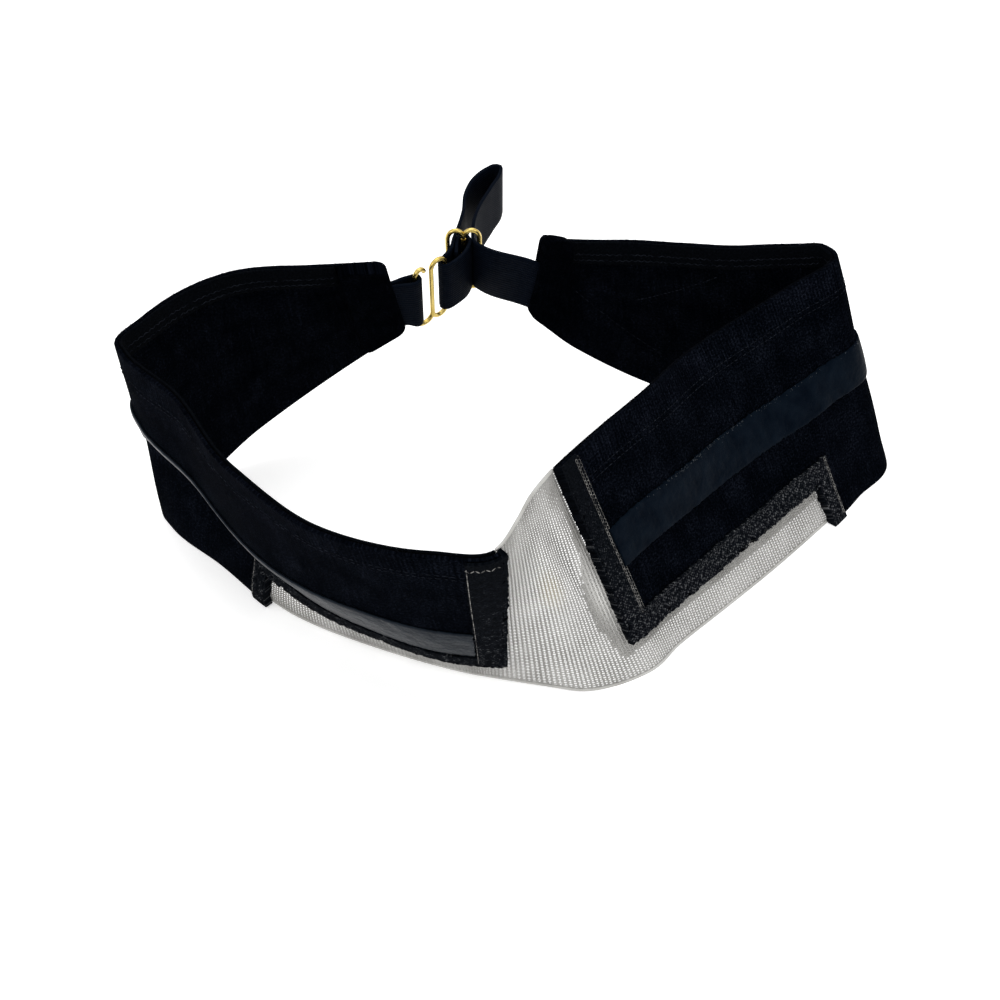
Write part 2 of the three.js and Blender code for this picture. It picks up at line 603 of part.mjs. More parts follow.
// A strap body: the route smoothed, then a flat section carried along it.
function strap(route, spacing) {
  const points = route.map((entry) => entry.point);
  const places = [0];
  for (let i = 1; i < points.length; i += 1) {
    places.push(places[i - 1] + points[i].distanceTo(points[i - 1]));
  }
  const axes = ['x', 'y', 'z'];
  const path = axes.map((axis) => smoothCurve(places, points.map((point) => point[axis]), false));
  const ups = axes.map((axis) => smoothCurve(places, route.map((entry) => entry.up[axis]), true));
  const rings = [];
  for (let i = 0; i < points.length - 1; i += 1) {
    const steps = Math.max(1, Math.round((places[i + 1] - places[i]) / spacing));
    for (let j = 0; j < steps; j += 1) rings.push(places[i] + ((places[i + 1] - places[i]) * j) / steps);
  }
  rings.push(places[places.length - 1]);
  const end = places[places.length - 1];
  const probe = STRAP_WALL / 20;
  return loft(rings.map((place) => {
    const at = (where) => new THREE.Vector3(...path.map((curve) => curve(where)));
    const here = at(place);
    const ahead = at(Math.min(place + probe, end)).sub(at(Math.max(place - probe, 0))).normalize();
    const up = new THREE.Vector3(...ups.map((curve) => curve(place))).normalize();
    const side = ahead.cross(up).normalize().multiplyScalar(STRAP_WALL / 2);
    const edge = up.multiplyScalar(STRAP_WIDTH / 2);
    return [
      here.clone().sub(edge).sub(side), here.clone().add(edge).sub(side),
      here.clone().add(edge).add(side), here.clone().sub(edge).add(side),
    ];
  }));
}
const STRAP_SPACING = 3;

// Short loop: out of the left cuff, round the hook's open lobe and back.
const shortLoop = [
  ...tuckedPly(LEFT_END, -1, 1),
  ...wrap(hookFrame, -HOOK_LOBE, -80, 90, 5),
  routePoint(hookFrame, -HOOK_LOBE - EYE_BULGE, wrapRadius + PLY_SPREAD),
  ...tuckedPly(LEFT_END, -1, 0).reverse(),
];
addMesh('short_strap_loop', strap(shortLoop, STRAP_SPACING), elastic);

// Long strap: sewn end in the slider, out to the hook's eye and back, through the slider to the
// slack loop, through it again and across to the right cuff. The slack loop's points are shares
// of SLACK_LENGTH from the slider's middle bar.
const SLACK_ROUTE = [
  { side: -0.083, back: 0.117 },
  { side: -0.027, back: 0.367 },
  { side: 0.023, back: 0.600 },
  { side: 0.120, back: 0.800 },
  { side: 0.250, back: 0.943 },
  { side: 0.327, back: 0.985 },
  { side: 0.377, back: 0.965 },
  { side: 0.372, back: 0.900 },
  { side: 0.287, back: 0.667 },
  { side: 0.193, back: 0.400 },
  { side: 0.120, back: 0.150 },
];
const p = SLIDER_PITCH;
const longStrap = [
  routePoint(sliderFrame, -wrapRadius - PLY_SPREAD, -SEWN_TAIL),
  ...wrap(sliderFrame, 0, 180, 0, 6),
  routePoint(sliderFrame, wrapRadius - PLY_SPREAD, -PLY_BEND),
  routePoint(hookFrame, HOOK_EYE + EYE_BULGE, -wrapRadius),
  ...wrap(hookFrame, HOOK_EYE, -95, -270, 6),
  routePoint(sliderFrame, -secondPly - PLY_SPREAD, -PLY_BEND),
  routePoint(sliderFrame, -secondPly, 0),
  ...SLACK_ROUTE.map(({ side, back }) => routePoint(sliderFrame, side * SLACK_LENGTH, back * SLACK_LENGTH)),
  ...wrap(sliderFrame, p, 180, 228, 3),
  ...tuckedPly(RIGHT_END, 1, 0, RIGHT_STRAP_DROP).reverse(),
];
addMesh('long_strap', strap(longStrap, STRAP_SPACING), elastic);

// The origin is the middle of the part's box, at the height of the table.
const box = new THREE.Box3().setFromObject(band);
const middle = box.getCenter(new THREE.Vector3());
band.position.set(-middle.x, -middle.y, -box.min.z);

export default part;
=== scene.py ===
# %% [markdown]
# # A wig grip band
# This lesson dresses the plain solids of a wig grip band. The band is cloth: two velvet
# panels with glossy grip strips, a net front, and an elastic strap with gold hardware.
# The solids come in as a fixed frame, and each one is then replaced by a detailed piece
# that lies in the same place.

# %% Load the solids
import math
import bpy
import numpy as np
from mathutils import Matrix, Vector


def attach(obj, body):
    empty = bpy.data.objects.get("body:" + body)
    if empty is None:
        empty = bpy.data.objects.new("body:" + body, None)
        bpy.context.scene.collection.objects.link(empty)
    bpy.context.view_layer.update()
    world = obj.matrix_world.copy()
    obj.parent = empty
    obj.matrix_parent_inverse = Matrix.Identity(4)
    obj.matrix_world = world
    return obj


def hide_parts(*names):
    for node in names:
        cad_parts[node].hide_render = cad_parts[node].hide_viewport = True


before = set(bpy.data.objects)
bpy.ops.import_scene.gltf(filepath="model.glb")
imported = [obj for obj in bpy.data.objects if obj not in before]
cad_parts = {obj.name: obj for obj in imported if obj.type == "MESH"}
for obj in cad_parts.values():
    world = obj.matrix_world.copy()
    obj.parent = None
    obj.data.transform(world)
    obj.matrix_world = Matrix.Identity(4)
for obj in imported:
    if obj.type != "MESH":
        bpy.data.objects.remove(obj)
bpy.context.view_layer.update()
scene = bpy.context.scene
print("solids:", sorted(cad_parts))

# %% [markdown]
# ## The standing band as a surface
# Cloth is cut flat and then stands up in curves. So each piece of cloth is first laid out
# flat, in millimetres, with x along the band and y up it. A set of curves then carries
# every flat point to its place on the standing band. The curves pass through a table of
# sections, the same one that the solids were made with.

# %% Sizes in millimetres
LOOP_WIDTH = 192
LOOP_DEPTH = 105
BAND_WIDTH = 60
VELVET_WALL = 1.0
NET_WALL = 1.0
HEM_WALL = 0.6
GRIP_WALL = 0.6
LAYER_GAP = 0.3
FRONT_NET = 29
NET_DROP = 11.5
LEFT_NET_RUN = 69
RIGHT_NET_RUN = 78
FRONT_HEM = 6
LEFT_LOWER_HEM = 3
RIGHT_LOWER_HEM = 5
STEP_HEM = 4.5
TOP_HEM = 6.5
GRIP_WIDTH = 10.5
CUFF_LENGTH = 12.5
CUFF_WALL = 0.5
CUFF_RISE = 1.2
CUFF_MARGIN = 1.0
SLOT_GAP = 0.5
STRAP_WIDTH = 16
STRAP_WALL = 0.9
STRAP_TUCK = 9
RIGHT_STRAP_DROP = 2
SLACK_LENGTH = 30
WIRE = 1.3
HOOK_LOBE = 5.3
HOOK_EYE = 4.5
SLIDER_PITCH = 4.2
HOOK_ARCH = 0.8
SLIDER_ARCH = 1.3
BAR_CLEARANCE = 0.3
BAR_END_PLAY = 0.5
HOOK_MOUTH = 0.9
SEWN_TAIL = 5
PLY_SPREAD = 0.7
PLY_BEND = 3.2
EYE_BULGE = 2.2
STANDING_SHIFT = np.array([-3.622, -16.554, 0.0])
MM = 0.001

# %% Sections of the standing band
# Lower edge x and y, upper edge's shift in x and y, width, lift, grip strip and dent.
SECTIONS = np.array([
    [-0.146, 0.530, -0.067, -0.125, 0.460, 0.475, 0.150, 0],
    [-0.234, 0.486, -0.090, -0.125, 0.650, 0.310, 0.200, 0],
    [-0.349, 0.376, -0.070, -0.055, 0.870, 0.125, 0.250, 0],
    [-0.440, 0.200, -0.063, -0.065, 0.995, 0.005, 0.290, 0],
    [-0.466, 0.135, -0.053, -0.098, 1.000, 0.000, 0.340, 0.02],
    [-0.452, 0.092, -0.066, -0.087, 1.000, 0.000, 0.380, 0.05],
    [-0.378, -0.043, -0.080, -0.115, 1.000, 0.000, 0.480, 0.085],
    [-0.281, -0.222, -0.122, -0.215, 1.000, 0.000, 0.575, 0.05],
    [-0.167, -0.334, -0.145, -0.310, 1.000, 0.000, 0.580, 0.01],
    [-0.057, -0.410, -0.110, -0.310, 1.000, 0.000, 0.575, 0],
    [-0.013, -0.429, -0.020, -0.285, 1.000, 0.000, 0.570, 0],
    [0.042, -0.450, -0.105, -0.110, 1.000, 0.000, 0.500, 0],
    [0.085, -0.464, -0.200, 0.045, 1.000, 0.000, 0.450, 0],
    [0.126, -0.448, -0.290, 0.145, 1.000, 0.000, 0.400, 0],
    [0.167, -0.410, -0.380, 0.200, 1.000, 0.000, 0.350, 0],
    [0.214, -0.314, -0.350, 0.280, 1.000, 0.000, 0.350, 0],
    [0.281, -0.190, -0.365, 0.350, 1.000, 0.000, 0.355, 0],
    [0.365, -0.029, -0.415, 0.400, 1.000, 0.000, 0.365, 0],
    [0.470, 0.200, -0.350, 0.320, 1.000, 0.000, 0.380, 0],
    [0.520, 0.345, -0.297, 0.263, 1.000, 0.000, 0.380, 0],
    [0.513, 0.405, -0.313, 0.203, 1.000, 0.000, 0.370, 0],
    [0.470, 0.450, -0.270, 0.120, 0.980, 0.000, 0.350, 0],
    [0.375, 0.500, -0.190, 0.030, 0.930, 0.015, 0.310, 0],
    [0.270, 0.525, -0.130, 0.015, 0.850, 0.080, 0.270, 0],
    [0.180, 0.530, -0.080, 0.020, 0.730, 0.200, 0.230, 0],
    [0.090, 0.540, -0.020, 0.000, 0.570, 0.360, 0.190, 0],
    [0.021, 0.530, 0.060, -0.075, 0.455, 0.570, 0.150, 0],
])
FRONT_CENTRE_ROW = 12


# %% Smooth curves through the table
def smooth_curve(places, values, level):
    """A curve through the values. A level curve never swings past them."""
    places = np.asarray(places, float)
    values = np.asarray(values, float)
    runs = np.diff(places)
    rises = np.diff(values) / runs
    before, after = rises[:-1], rises[1:]
    if level:
        product = before * after
        total = np.where(product > 0, before + after, 1)
        inner = np.where(product > 0, 2 * product / total, 0)
    else:
        inner = (before * runs[1:] + after * runs[:-1]) / (runs[1:] + runs[:-1])
    slopes = np.concatenate([rises[:1], inner, rises[-1:]])

    def curve(place):
        i = np.clip(np.searchsorted(places, place, side="left") - 1, 0, len(runs) - 1)
        run = runs[i]
        t = (place - places[i]) / run
        start = (1 + 2 * t) * (1 - t) ** 2 * values[i] + t * (1 - t) ** 2 * run * slopes[i]
        return start + t * t * (3 - 2 * t) * values[i + 1] - t * t * (1 - t) * run * slopes[i + 1]

    return curve


lower = SECTIONS[:, 0:2] * [LOOP_WIDTH, LOOP_DEPTH]
lean = SECTIONS[:, 2:4] * BAND_WIDTH
steps = np.linalg.norm(np.diff(lower + lean / 2, axis=0), axis=1)
row_places = np.concatenate([[0], np.cumsum(steps)])
LEVEL_CURVES = ("width", "lift", "grip", "dent")
curve_names = ("x", "y", "top_x", "top_y") + LEVEL_CURVES
columns = np.hstack([lower, lean, SECTIONS[:, 4:] * BAND_WIDTH]).T
curves = {
    curve_name: smooth_curve(row_places, column, curve_name in LEVEL_CURVES)
    for curve_name, column in zip(curve_names, columns)
}
print("sections:", len(SECTIONS), "path:", round(row_places[-1]), "mm")


# %% Distance along the band
def section_at(place):
    """Lower edge, direction up the cloth and flat width at places of the table's path."""
    width = curves["width"](place)
    tip_x, tip_y = curves["top_x"](place), curves["top_y"](place)
    rise = np.sqrt(width ** 2 - tip_x ** 2 - tip_y ** 2)
    up = np.stack([tip_x, tip_y, rise], axis=-1) / width[..., None]
    low = np.stack([curves["x"](place), curves["y"](place), curves["lift"](place)], axis=-1)
    return low, up, width


FINE_STEP = 0.25
fine_places = np.linspace(0, row_places[-1], math.ceil(row_places[-1] / FINE_STEP) + 1)
fine_low, fine_up, fine_width = section_at(fine_places)
fine_middle = fine_low + fine_up * fine_width[:, None] / 2
fine_along = np.concatenate([[0], np.cumsum(np.linalg.norm(np.diff(fine_middle, axis=0), axis=1))])
fine_along -= np.interp(row_places[FRONT_CENTRE_ROW], fine_places, fine_along)
LEFT_END, RIGHT_END = fine_along[0], fine_along[-1]
print("band runs from", round(LEFT_END, 1), "to", round(RIGHT_END, 1), "mm")


def place_of(along):
    return np.interp(along, fine_along, fine_places)


def width_at(along):
    return curves["width"](place_of(np.asarray(along, float)))


def grip_top_at(along):
    return width_at(along) - curves["grip"](place_of(np.asarray(along, float)))


# %% From flat cloth to the standing band
def smoothstep(value, low, high):
    t = np.clip((value - low) / (high - low), 0, 1)
    return t * t * (3 - 2 * t)


def unevenness(along, height):
    """Soft dips and swells of worn cloth, in mm, and the tuck in the net by the right hem."""
    waves = 0.16 * np.sin(along / 5.3 + 1.3 * np.sin(height / 11))
    waves += 0.14 * np.sin(height / 6.1 + along / 13 + 2)
    tuck = 1.2 * np.exp(-((along - 14 + height * 0.2) / 3.5) ** 2 - ((height - 34) / 13) ** 2)
    return (waves - tuck) * smoothstep(height, 1, 9)


def band_points(flat):
    """Flat points (along, up the cloth, out from its face) to places on the band, in mm."""
    along, height, out = flat.T
    inside = np.clip(along, LEFT_END, RIGHT_END)
    place = place_of(inside)
    low, up, width = section_at(place)
    before_low, before_up, _ = section_at(place_of(np.maximum(inside - FINE_STEP, LEFT_END)))
    after_low, after_up, _ = section_at(place_of(np.minimum(inside + FINE_STEP, RIGHT_END)))
    tangent = after_low + after_up * height[:, None] - before_low - before_up * height[:, None]
    tangent /= np.linalg.norm(tangent, axis=1)[:, None]
    normal = np.cross(tangent, up)
    normal /= np.linalg.norm(normal, axis=1)[:, None]
    deepest = width - curves["grip"](place) - GRIP_WIDTH
    rise = smoothstep(height, 0, deepest)
    fall = 1 - smoothstep(height, deepest, deepest + GRIP_WIDTH)
    face = out - curves["dent"](place) * np.where(height < deepest, rise, fall)
    face += unevenness(along, height)
    points = low + up * height[:, None] + normal * face[:, None]
    points += tangent * (along - inside)[:, None]
    on_table = np.abs(height) < 1e-6
    points[on_table] += (up * ((low - points)[:, 2] / up[:, 2])[:, None])[on_table]
    points[:, 2] = np.maximum(points[:, 2], 0)
    return points + STANDING_SHIFT


# %% [markdown]
# ## Camera, floor and light
# The camera looks from the front and 41.5 degrees above, close enough that the front of
# the band looms a little. The floor is flat, and gives off a little light of its own so
# that it stays white. Large soft lamps light the velvet evenly.

# %% Camera
TARGET = Vector((-6.5, -25.5, 25.0)) * MM
ELEVATION = math.radians(41.5)
DISTANCE = 433.4 * MM
camera_data = bpy.data.cameras.new("camera")
camera_data.lens = 64.8
camera_data.sensor_width = 36
camera = bpy.data.objects.new("camera", camera_data)
scene.collection.objects.link(camera)
camera.location = TARGET + DISTANCE * Vector((0, -math.cos(ELEVATION), math.sin(ELEVATION)))
camera.rotation_euler = (math.pi / 2 - ELEVATION, 0, 0)
scene.camera = camera
scene.view_settings.view_transform = "Standard"

# %% Floor
bpy.ops.object.select_all(action="DESELECT")
bpy.ops.mesh.primitive_plane_add(size=6, location=(0, 0, -0.0002))
floor = bpy.context.object
floor.name = "floor"
floor_paint = bpy.data.materials.new("floor paint")
floor_paint.use_nodes = True
floor_shader = floor_paint.node_tree.nodes["Principled BSDF"]
floor_shader.inputs["Base Color"].default_value = (0.93, 0.93, 0.93, 1)
floor_shader.inputs["Roughness"].default_value = 0.9
floor_shader.inputs["Specular IOR Level"].default_value = 0.1
floor_shader.inputs["Emission Color"].default_value = (1, 1, 1, 1)
floor_shader.inputs["Emission Strength"].default_value = 0.35
floor.data.materials.append(floor_paint)

# %% Lamps
LAMPS = [
    ["overhead", (0.0, 0.3, 1.3), 1.2, 9],
    ["front left", (-1.0, -1.0, 0.8), 0.7, 4],
    ["front right", (1.1, -0.8, 0.7), 0.7, 3],
]
for name, place, size, power in LAMPS:
    lamp_data = bpy.data.lights.new(name, "AREA")
    lamp_data.size = size
    lamp_data.energy = power
    lamp = bpy.data.objects.new(name, lamp_data)
    lamp.location = place
    lamp.rotation_euler = (Vector((0, 0, 0.03)) - Vector(place)).to_track_quat("-Z", "Y").to_euler()
    scene.collection.objects.link(lamp)
sky = bpy.data.worlds.new("studio")
sky.use_nodes = True
sky.node_tree.nodes["Background"].inputs["Color"].default_value = (1, 1, 1, 1)
sky.node_tree.nodes["Background"].inputs["Strength"].default_value = 1.0
scene.world = sky
print("lamps:", len(LAMPS))

# %% [markdown]
# ## Finishes
# Every finish is worked out from nodes. Cloth patterns follow the piece's own map, whose
# numbers are millimetres along and up the cloth, so that threads keep their real size.


# %% Helpers for finishes
def new_finish(name):
    finish = bpy.data.materials.new(name)
    finish.use_nodes = True
    return finish, finish.node_tree, finish.node_tree.nodes["Principled BSDF"]


def fill_inputs(tree, node, **inputs):
    """An input takes a number, a colour or another node's socket."""
    for key, value in inputs.items():
        socket = node.inputs[int(key[1:])] if key[1:].isdigit() else node.inputs[key.replace("_", " ")]
        if isinstance(value, bpy.types.NodeSocket):
            tree.links.new(value, socket)
        else:
            socket.default_value = value


def add_node(tree, kind, settings=None, **inputs):
    node = tree.nodes.new(kind)
    for key, value in (settings or {}).items():
        setattr(node, key, value)
    fill_inputs(tree, node, **inputs)
    return node


def cloth_map(tree):
    return add_node(tree, "ShaderNodeUVMap", {"uv_map": "cloth"}).outputs["UV"]


def math_of(tree, operation, first, second=0.0, third=0.0):
    settings = {"operation": operation}
    return add_node(tree, "ShaderNodeMath", settings, i0=first, i1=second, i2=third).outputs[0]


def wave_of(tree, value, pitch):
    return math_of(tree, "SINE", math_of(tree, "MULTIPLY", value, 2 * math.pi / pitch))


def noise_of(tree, vector, scale, detail=3.0, roughness=0.6):
    return add_node(tree, "ShaderNodeTexNoise", None, Vector=vector, Scale=scale, Detail=detail,
                    Roughness=roughness).outputs["Fac"]


def ramp_of(tree, value, stops):
    """Colours along a value. Each stop is a position and a colour."""
    node = add_node(tree, "ShaderNodeValToRGB", None, Fac=value)
    elements = node.color_ramp.elements
    while len(elements) < len(stops):
        elements.new(0.5)
    for element, (position, colour) in zip(elements, stops):
        element.position = position
        element.color = (*colour, 1)
    return node.outputs["Color"]


def bump_of(tree, height, distance, strength=1.0):
    return add_node(tree, "ShaderNodeBump", None, Height=height, Distance=distance * MM,
                    Strength=strength).outputs["Normal"]


# %% [markdown]
# Velvet is short pile that stands up from the cloth. Seen closely it breaks up into small
# clumps: nearly black between them, with blue-grey specks where a clump's side shows.
# A sheen adds the pale rim that velvet has where it turns away. Along its top edge the
# cloth is turned over, which shows outside as fine ribs and a double row of stitches.


# %% Velvet
RIB_PITCH = 0.95
FOLD_LINE = BAND_WIDTH - 7.8


def velvet_finish(name, dark, speck, clump, sheen, ribs=0.0):
    finish, tree, shader = new_finish(name)
    where = cloth_map(tree)
    split = add_node(tree, "ShaderNodeSeparateXYZ", None, Vector=where)
    clumps = noise_of(tree, where, 1 / clump, 3.0, 0.85)
    patches = noise_of(tree, where, 0.13, 2.0, 0.5)
    combed = add_node(tree, "ShaderNodeMapping", None, Vector=where, Scale=(1.1, 0.10, 1)).outputs[0]
    brushed = noise_of(tree, combed, 1.0, 2.0, 0.5)
    mixed = math_of(tree, "MULTIPLY_ADD", patches, 0.24, clumps)
    mixed = math_of(tree, "MULTIPLY_ADD", brushed, 0.18, mixed)
    in_hem = add_node(tree, "ShaderNodeMapRange", {"clamp": True}, i0=split.outputs["Y"], i1=FOLD_LINE - 0.4,
                      i2=FOLD_LINE + 0.4, i3=0.0, i4=ribs).outputs[0]
    rib = wave_of(tree, split.outputs["X"], RIB_PITCH)
    mixed = math_of(tree, "MULTIPLY_ADD", math_of(tree, "MULTIPLY", rib, in_hem), 0.035, mixed)
    mixed = math_of(tree, "MULTIPLY_ADD", in_hem, 0.015, mixed)
    middle = tuple(low + (high - low) * 0.16 for low, high in zip(dark, speck))
    stops = [(0.64, dark), (0.77, middle), (0.97, speck)]
    fill_inputs(tree, shader, Base_Color=ramp_of(tree, mixed, stops), Normal=bump_of(tree, mixed, 0.40, 0.9),
                Roughness=0.95, Specular_IOR_Level=0.003, Sheen_Weight=sheen, Sheen_Roughness=0.30,
                Sheen_Tint=(0.55, 0.62, 0.80, 1))
    return finish


velvet = velvet_finish("velvet", (0.0000, 0.0003, 0.0009), (0.0095, 0.0118, 0.0190), 0.55, 0.0035, 1.0)
cuff_velvet = velvet_finish("cuff velvet", (0.0000, 0.0002, 0.0006), (0.0045, 0.0058, 0.0100), 0.7, 0.0015)


# %% [markdown]
# The grip strips are a dark film, smooth and a little uneven, like dried glue. A low
# roughness and a gentle waviness give them soft, broad reflections.


# %% Grip film
def grip_finish(name, gloss, rough):
    finish, tree, shader = new_finish(name)
    where = cloth_map(tree)
    waves = noise_of(tree, where, 0.22, 2.0, 0.5)
    grains = noise_of(tree, where, 1.6, 3.0, 0.6)
    height = math_of(tree, "MULTIPLY_ADD", grains, 0.16, waves)
    tone = ramp_of(tree, waves, [(0.3, (0.0006, 0.0018, 0.0042)), (0.75, (0.0026, 0.0050, 0.0088))])
    fill_inputs(tree, shader, Base_Color=tone, Normal=bump_of(tree, height, 0.6, 0.8),
                Roughness=math_of(tree, "MULTIPLY_ADD", grains, 0.30, rough), Specular_IOR_Level=gloss,
                Specular_Tint=(0.74, 0.87, 1.0, 1))
    return finish


left_film = grip_finish("left grip film", 0.12, 0.24)
right_film = grip_finish("right grip film", 0.010, 0.22)
bead_film = grip_finish("bead of film", 0.30, 0.02)


# %% [markdown]
# The hems are the wrong side of the velvet, turned out and sewn over the net. Pale
# threads show through the pile as small grey cells, in torn patches and less near the
# top. The map is pushed about by noise first, so that no two cells are alike.


# %% Hem cloth
CELL_WIDTH = 1.10
CELL_HEIGHT = 0.95


def hem_finish(name, show, worn_from, patch):
    finish, tree, shader = new_finish(name)
    where = cloth_map(tree)
    push = add_node(tree, "ShaderNodeTexNoise", None, Vector=where, Scale=0.9, Detail=2.0).outputs["Color"]
    uneven = add_node(tree, "ShaderNodeVectorMath", {"operation": "MULTIPLY_ADD"}, i0=push,
                      i1=(1.7, 1.7, 0.0), i2=where).outputs[0]
    split = add_node(tree, "ShaderNodeSeparateXYZ", None, Vector=uneven)
    ribs = wave_of(tree, split.outputs["X"], CELL_WIDTH)
    rungs = wave_of(tree, split.outputs["Y"], CELL_HEIGHT)
    cells = math_of(tree, "MULTIPLY_ADD", math_of(tree, "MULTIPLY", ribs, rungs), 0.5, 0.5)
    brushed = noise_of(tree, where, 1.9, 4.0, 0.75)
    worn = noise_of(tree, where, patch, 3.0, 0.65)
    torn = add_node(tree, "ShaderNodeMapRange", None, i0=worn, i1=worn_from, i2=worn_from + 0.26).outputs[0]
    lower = add_node(tree, "ShaderNodeMapRange", None, i0=split.outputs["Y"], i1=58.0, i2=16.0,
                     i3=0.30, i4=1.0).outputs[0]
    shown = math_of(tree, "MULTIPLY", math_of(tree, "MULTIPLY", cells, torn), lower)
    mixed = math_of(tree, "MULTIPLY_ADD", shown, show, math_of(tree, "MULTIPLY", brushed, 0.64))
    near_black = (0.0004, 0.0008, 0.0015)
    dark_grey = (0.0040, 0.0051, 0.0073)
    pale_grey = (0.115, 0.118, 0.122)
    stops = [(0.30, near_black), (0.48, dark_grey), (0.80, pale_grey)]
    fill_inputs(tree, shader, Base_Color=ramp_of(tree, mixed, stops), Normal=bump_of(tree, mixed, 0.5, 0.9),
                Roughness=0.95, Specular_IOR_Level=0.01, Sheen_Weight=0.004)
    return finish


right_hem_cloth = hem_finish("right hem cloth", 0.40, 0.34, 0.90)
left_hem_cloth = hem_finish("left hem cloth", 0.36, 0.38, 0.60)
top_hem_cloth = hem_finish("top hem cloth", 0.12, 0.50, 0.30)


# %% [markdown]
# The net and the sewing thread are plain yarn. Fine noise makes each thread a little
# lighter and darker along its length. Soft ovals on the net's own map add what is seen
# beside the right hem: painted shade along the crease of the tuck, a whiter patch where
# the cloth lies double, and a faint yellowish stain.


# %% Yarns
def blob_of(tree, where, centre, reach, turn):
    """1 in the middle of a soft oval, in millimetres, and 0 from its rim on."""
    moved = add_node(tree, "ShaderNodeVectorMath", {"operation": "SUBTRACT"}, i0=where,
                     i1=(*centre, 0)).outputs[0]
    turned = add_node(tree, "ShaderNodeVectorRotate", {"rotation_type": "Z_AXIS"}, Vector=moved,
                      Angle=math.radians(-turn)).outputs[0]
    shrunk = add_node(tree, "ShaderNodeVectorMath", {"operation": "DIVIDE"}, i0=turned,
                      i1=(*reach, 1)).outputs[0]
    far = add_node(tree, "ShaderNodeVectorMath", {"operation": "LENGTH"}, i0=shrunk).outputs["Value"]
    return add_node(tree, "ShaderNodeMapRange", {"interpolation_type": "SMOOTHSTEP"}, i0=far, i1=1.0,
                    i2=0.0).outputs[0]


def yarn_finish(name, dark, light, roughness, grain, patches=()):
    finish, tree, shader = new_finish(name)
    where = add_node(tree, "ShaderNodeTexCoord").outputs["Object"]
    tone = noise_of(tree, where, 1 / (grain * MM), 2.0, 0.5)
    colour = ramp_of(tree, tone, [(0.35, dark), (0.65, light)])
    for centre, reach, turn, patch_colour, strength in patches:
        share = math_of(tree, "MULTIPLY", blob_of(tree, cloth_map(tree), centre, reach, turn), strength)
        colour = add_node(tree, "ShaderNodeMix", {"data_type": "RGBA"}, i0=share, i6=colour,
                          i7=(*patch_colour, 1)).outputs[2]
    fill_inputs(tree, shader, Base_Color=colour, Normal=bump_of(tree, tone, 0.04, 0.6), Roughness=roughness,
                Specular_IOR_Level=0.02)
    return finish


NET_PATCHES_AND_SHADE = [
    # Painted shade: this grey oval darkens the yarn along the crease of the tuck.
    ((7.0, 35.0), (3.2, 22.0), 11, (0.150, 0.147, 0.138), 0.75),
    ((12.5, 24.0), (5.5, 17.0), 8, (0.620, 0.615, 0.595), 0.80),
    ((-1.0, 33.0), (5.0, 9.0), 10, (0.330, 0.290, 0.200), 0.55),
]
net_yarn = yarn_finish("net yarn", (0.240, 0.235, 0.224), (0.335, 0.330, 0.318), 0.7, 9, NET_PATCHES_AND_SHADE)
cord_yarn = yarn_finish("cord yarn", (0.330, 0.324, 0.308), (0.430, 0.424, 0.408), 0.7, 9)
backing_yarn = yarn_finish("backing yarn", (0.820, 0.812, 0.790), (0.940, 0.930, 0.905), 0.8, 8)
pale_thread = yarn_finish("pale thread", (0.018, 0.018, 0.019), (0.200, 0.195, 0.185), 0.8, 1.6)
seam_thread = yarn_finish("seam thread", (0.0015, 0.0020, 0.0034), (0.0140, 0.0160, 0.0220), 0.9, 1.6)
dim_thread = yarn_finish("dim thread", (0.003, 0.0034, 0.0048), (0.040, 0.041, 0.045), 0.9, 1.6)
black_thread = yarn_finish("black thread", (0.0004, 0.0006, 0.0012), (0.0040, 0.0046, 0.0070), 0.9, 2)


# %% [markdown]
# Elastic tape has fine ribs along its length and a tight weave across them. Two sine
# waves on the piece's own map make both.


# %% Elastic
TAPE_RIB = 0.75
TAPE_WEFT = 0.5


def elastic_finish():
    finish, tree, shader = new_finish("elastic tape")
    where = cloth_map(tree)
    split = add_node(tree, "ShaderNodeSeparateXYZ", None, Vector=where)
    ribs = wave_of(tree, split.outputs["Y"], TAPE_RIB)
    weave = wave_of(tree, split.outputs["X"], TAPE_WEFT)
    both = math_of(tree, "MULTIPLY_ADD", weave, 0.5, ribs)
    dust = noise_of(tree, where, 0.5, 3.0, 0.6)
    tone = ramp_of(tree, dust, [(0.3, (0.0008, 0.0018, 0.0044)), (0.75, (0.0024, 0.0040, 0.0078))])
    fill_inputs(tree, shader, Base_Color=tone, Normal=bump_of(tree, both, 0.05, 0.8), Roughness=0.55,
                Specular_IOR_Level=0.009, Sheen_Weight=0.0015)
    return finish


elastic_tape = elastic_finish()


# %% Gold
def gold_finish():
    finish, tree, shader = new_finish("gold wire")
    where = add_node(tree, "ShaderNodeTexCoord").outputs["Object"]
    wear = noise_of(tree, where, 260, 2.0, 0.5)
    tone = ramp_of(tree, wear, [(0.3, (0.48, 0.35, 0.09)), (0.7, (0.64, 0.49, 0.16))])
    fill_inputs(tree, shader, Base_Color=tone, Roughness=math_of(tree, "MULTIPLY_ADD", wear, 0.10, 0.22),
                Metallic=1)
    return finish


gold_wire = gold_finish()
print("finishes:", len(bpy.data.materials))

# %% [markdown]
# ## Cutting and standing up cloth
# A piece of cloth starts as a flat grid. It is cut to shape in edit mode, gets its
# thickness from a Solidify modifier, and is mapped in millimetres. Only then is it stood
# up, point by point, so that seams and edges stay exactly where they were cut.


# %% Lay out and cut a piece of cloth
def select_only(piece):
    bpy.ops.object.select_all(action="DESELECT")
    piece.select_set(True)
    bpy.context.view_layer.objects.active = piece


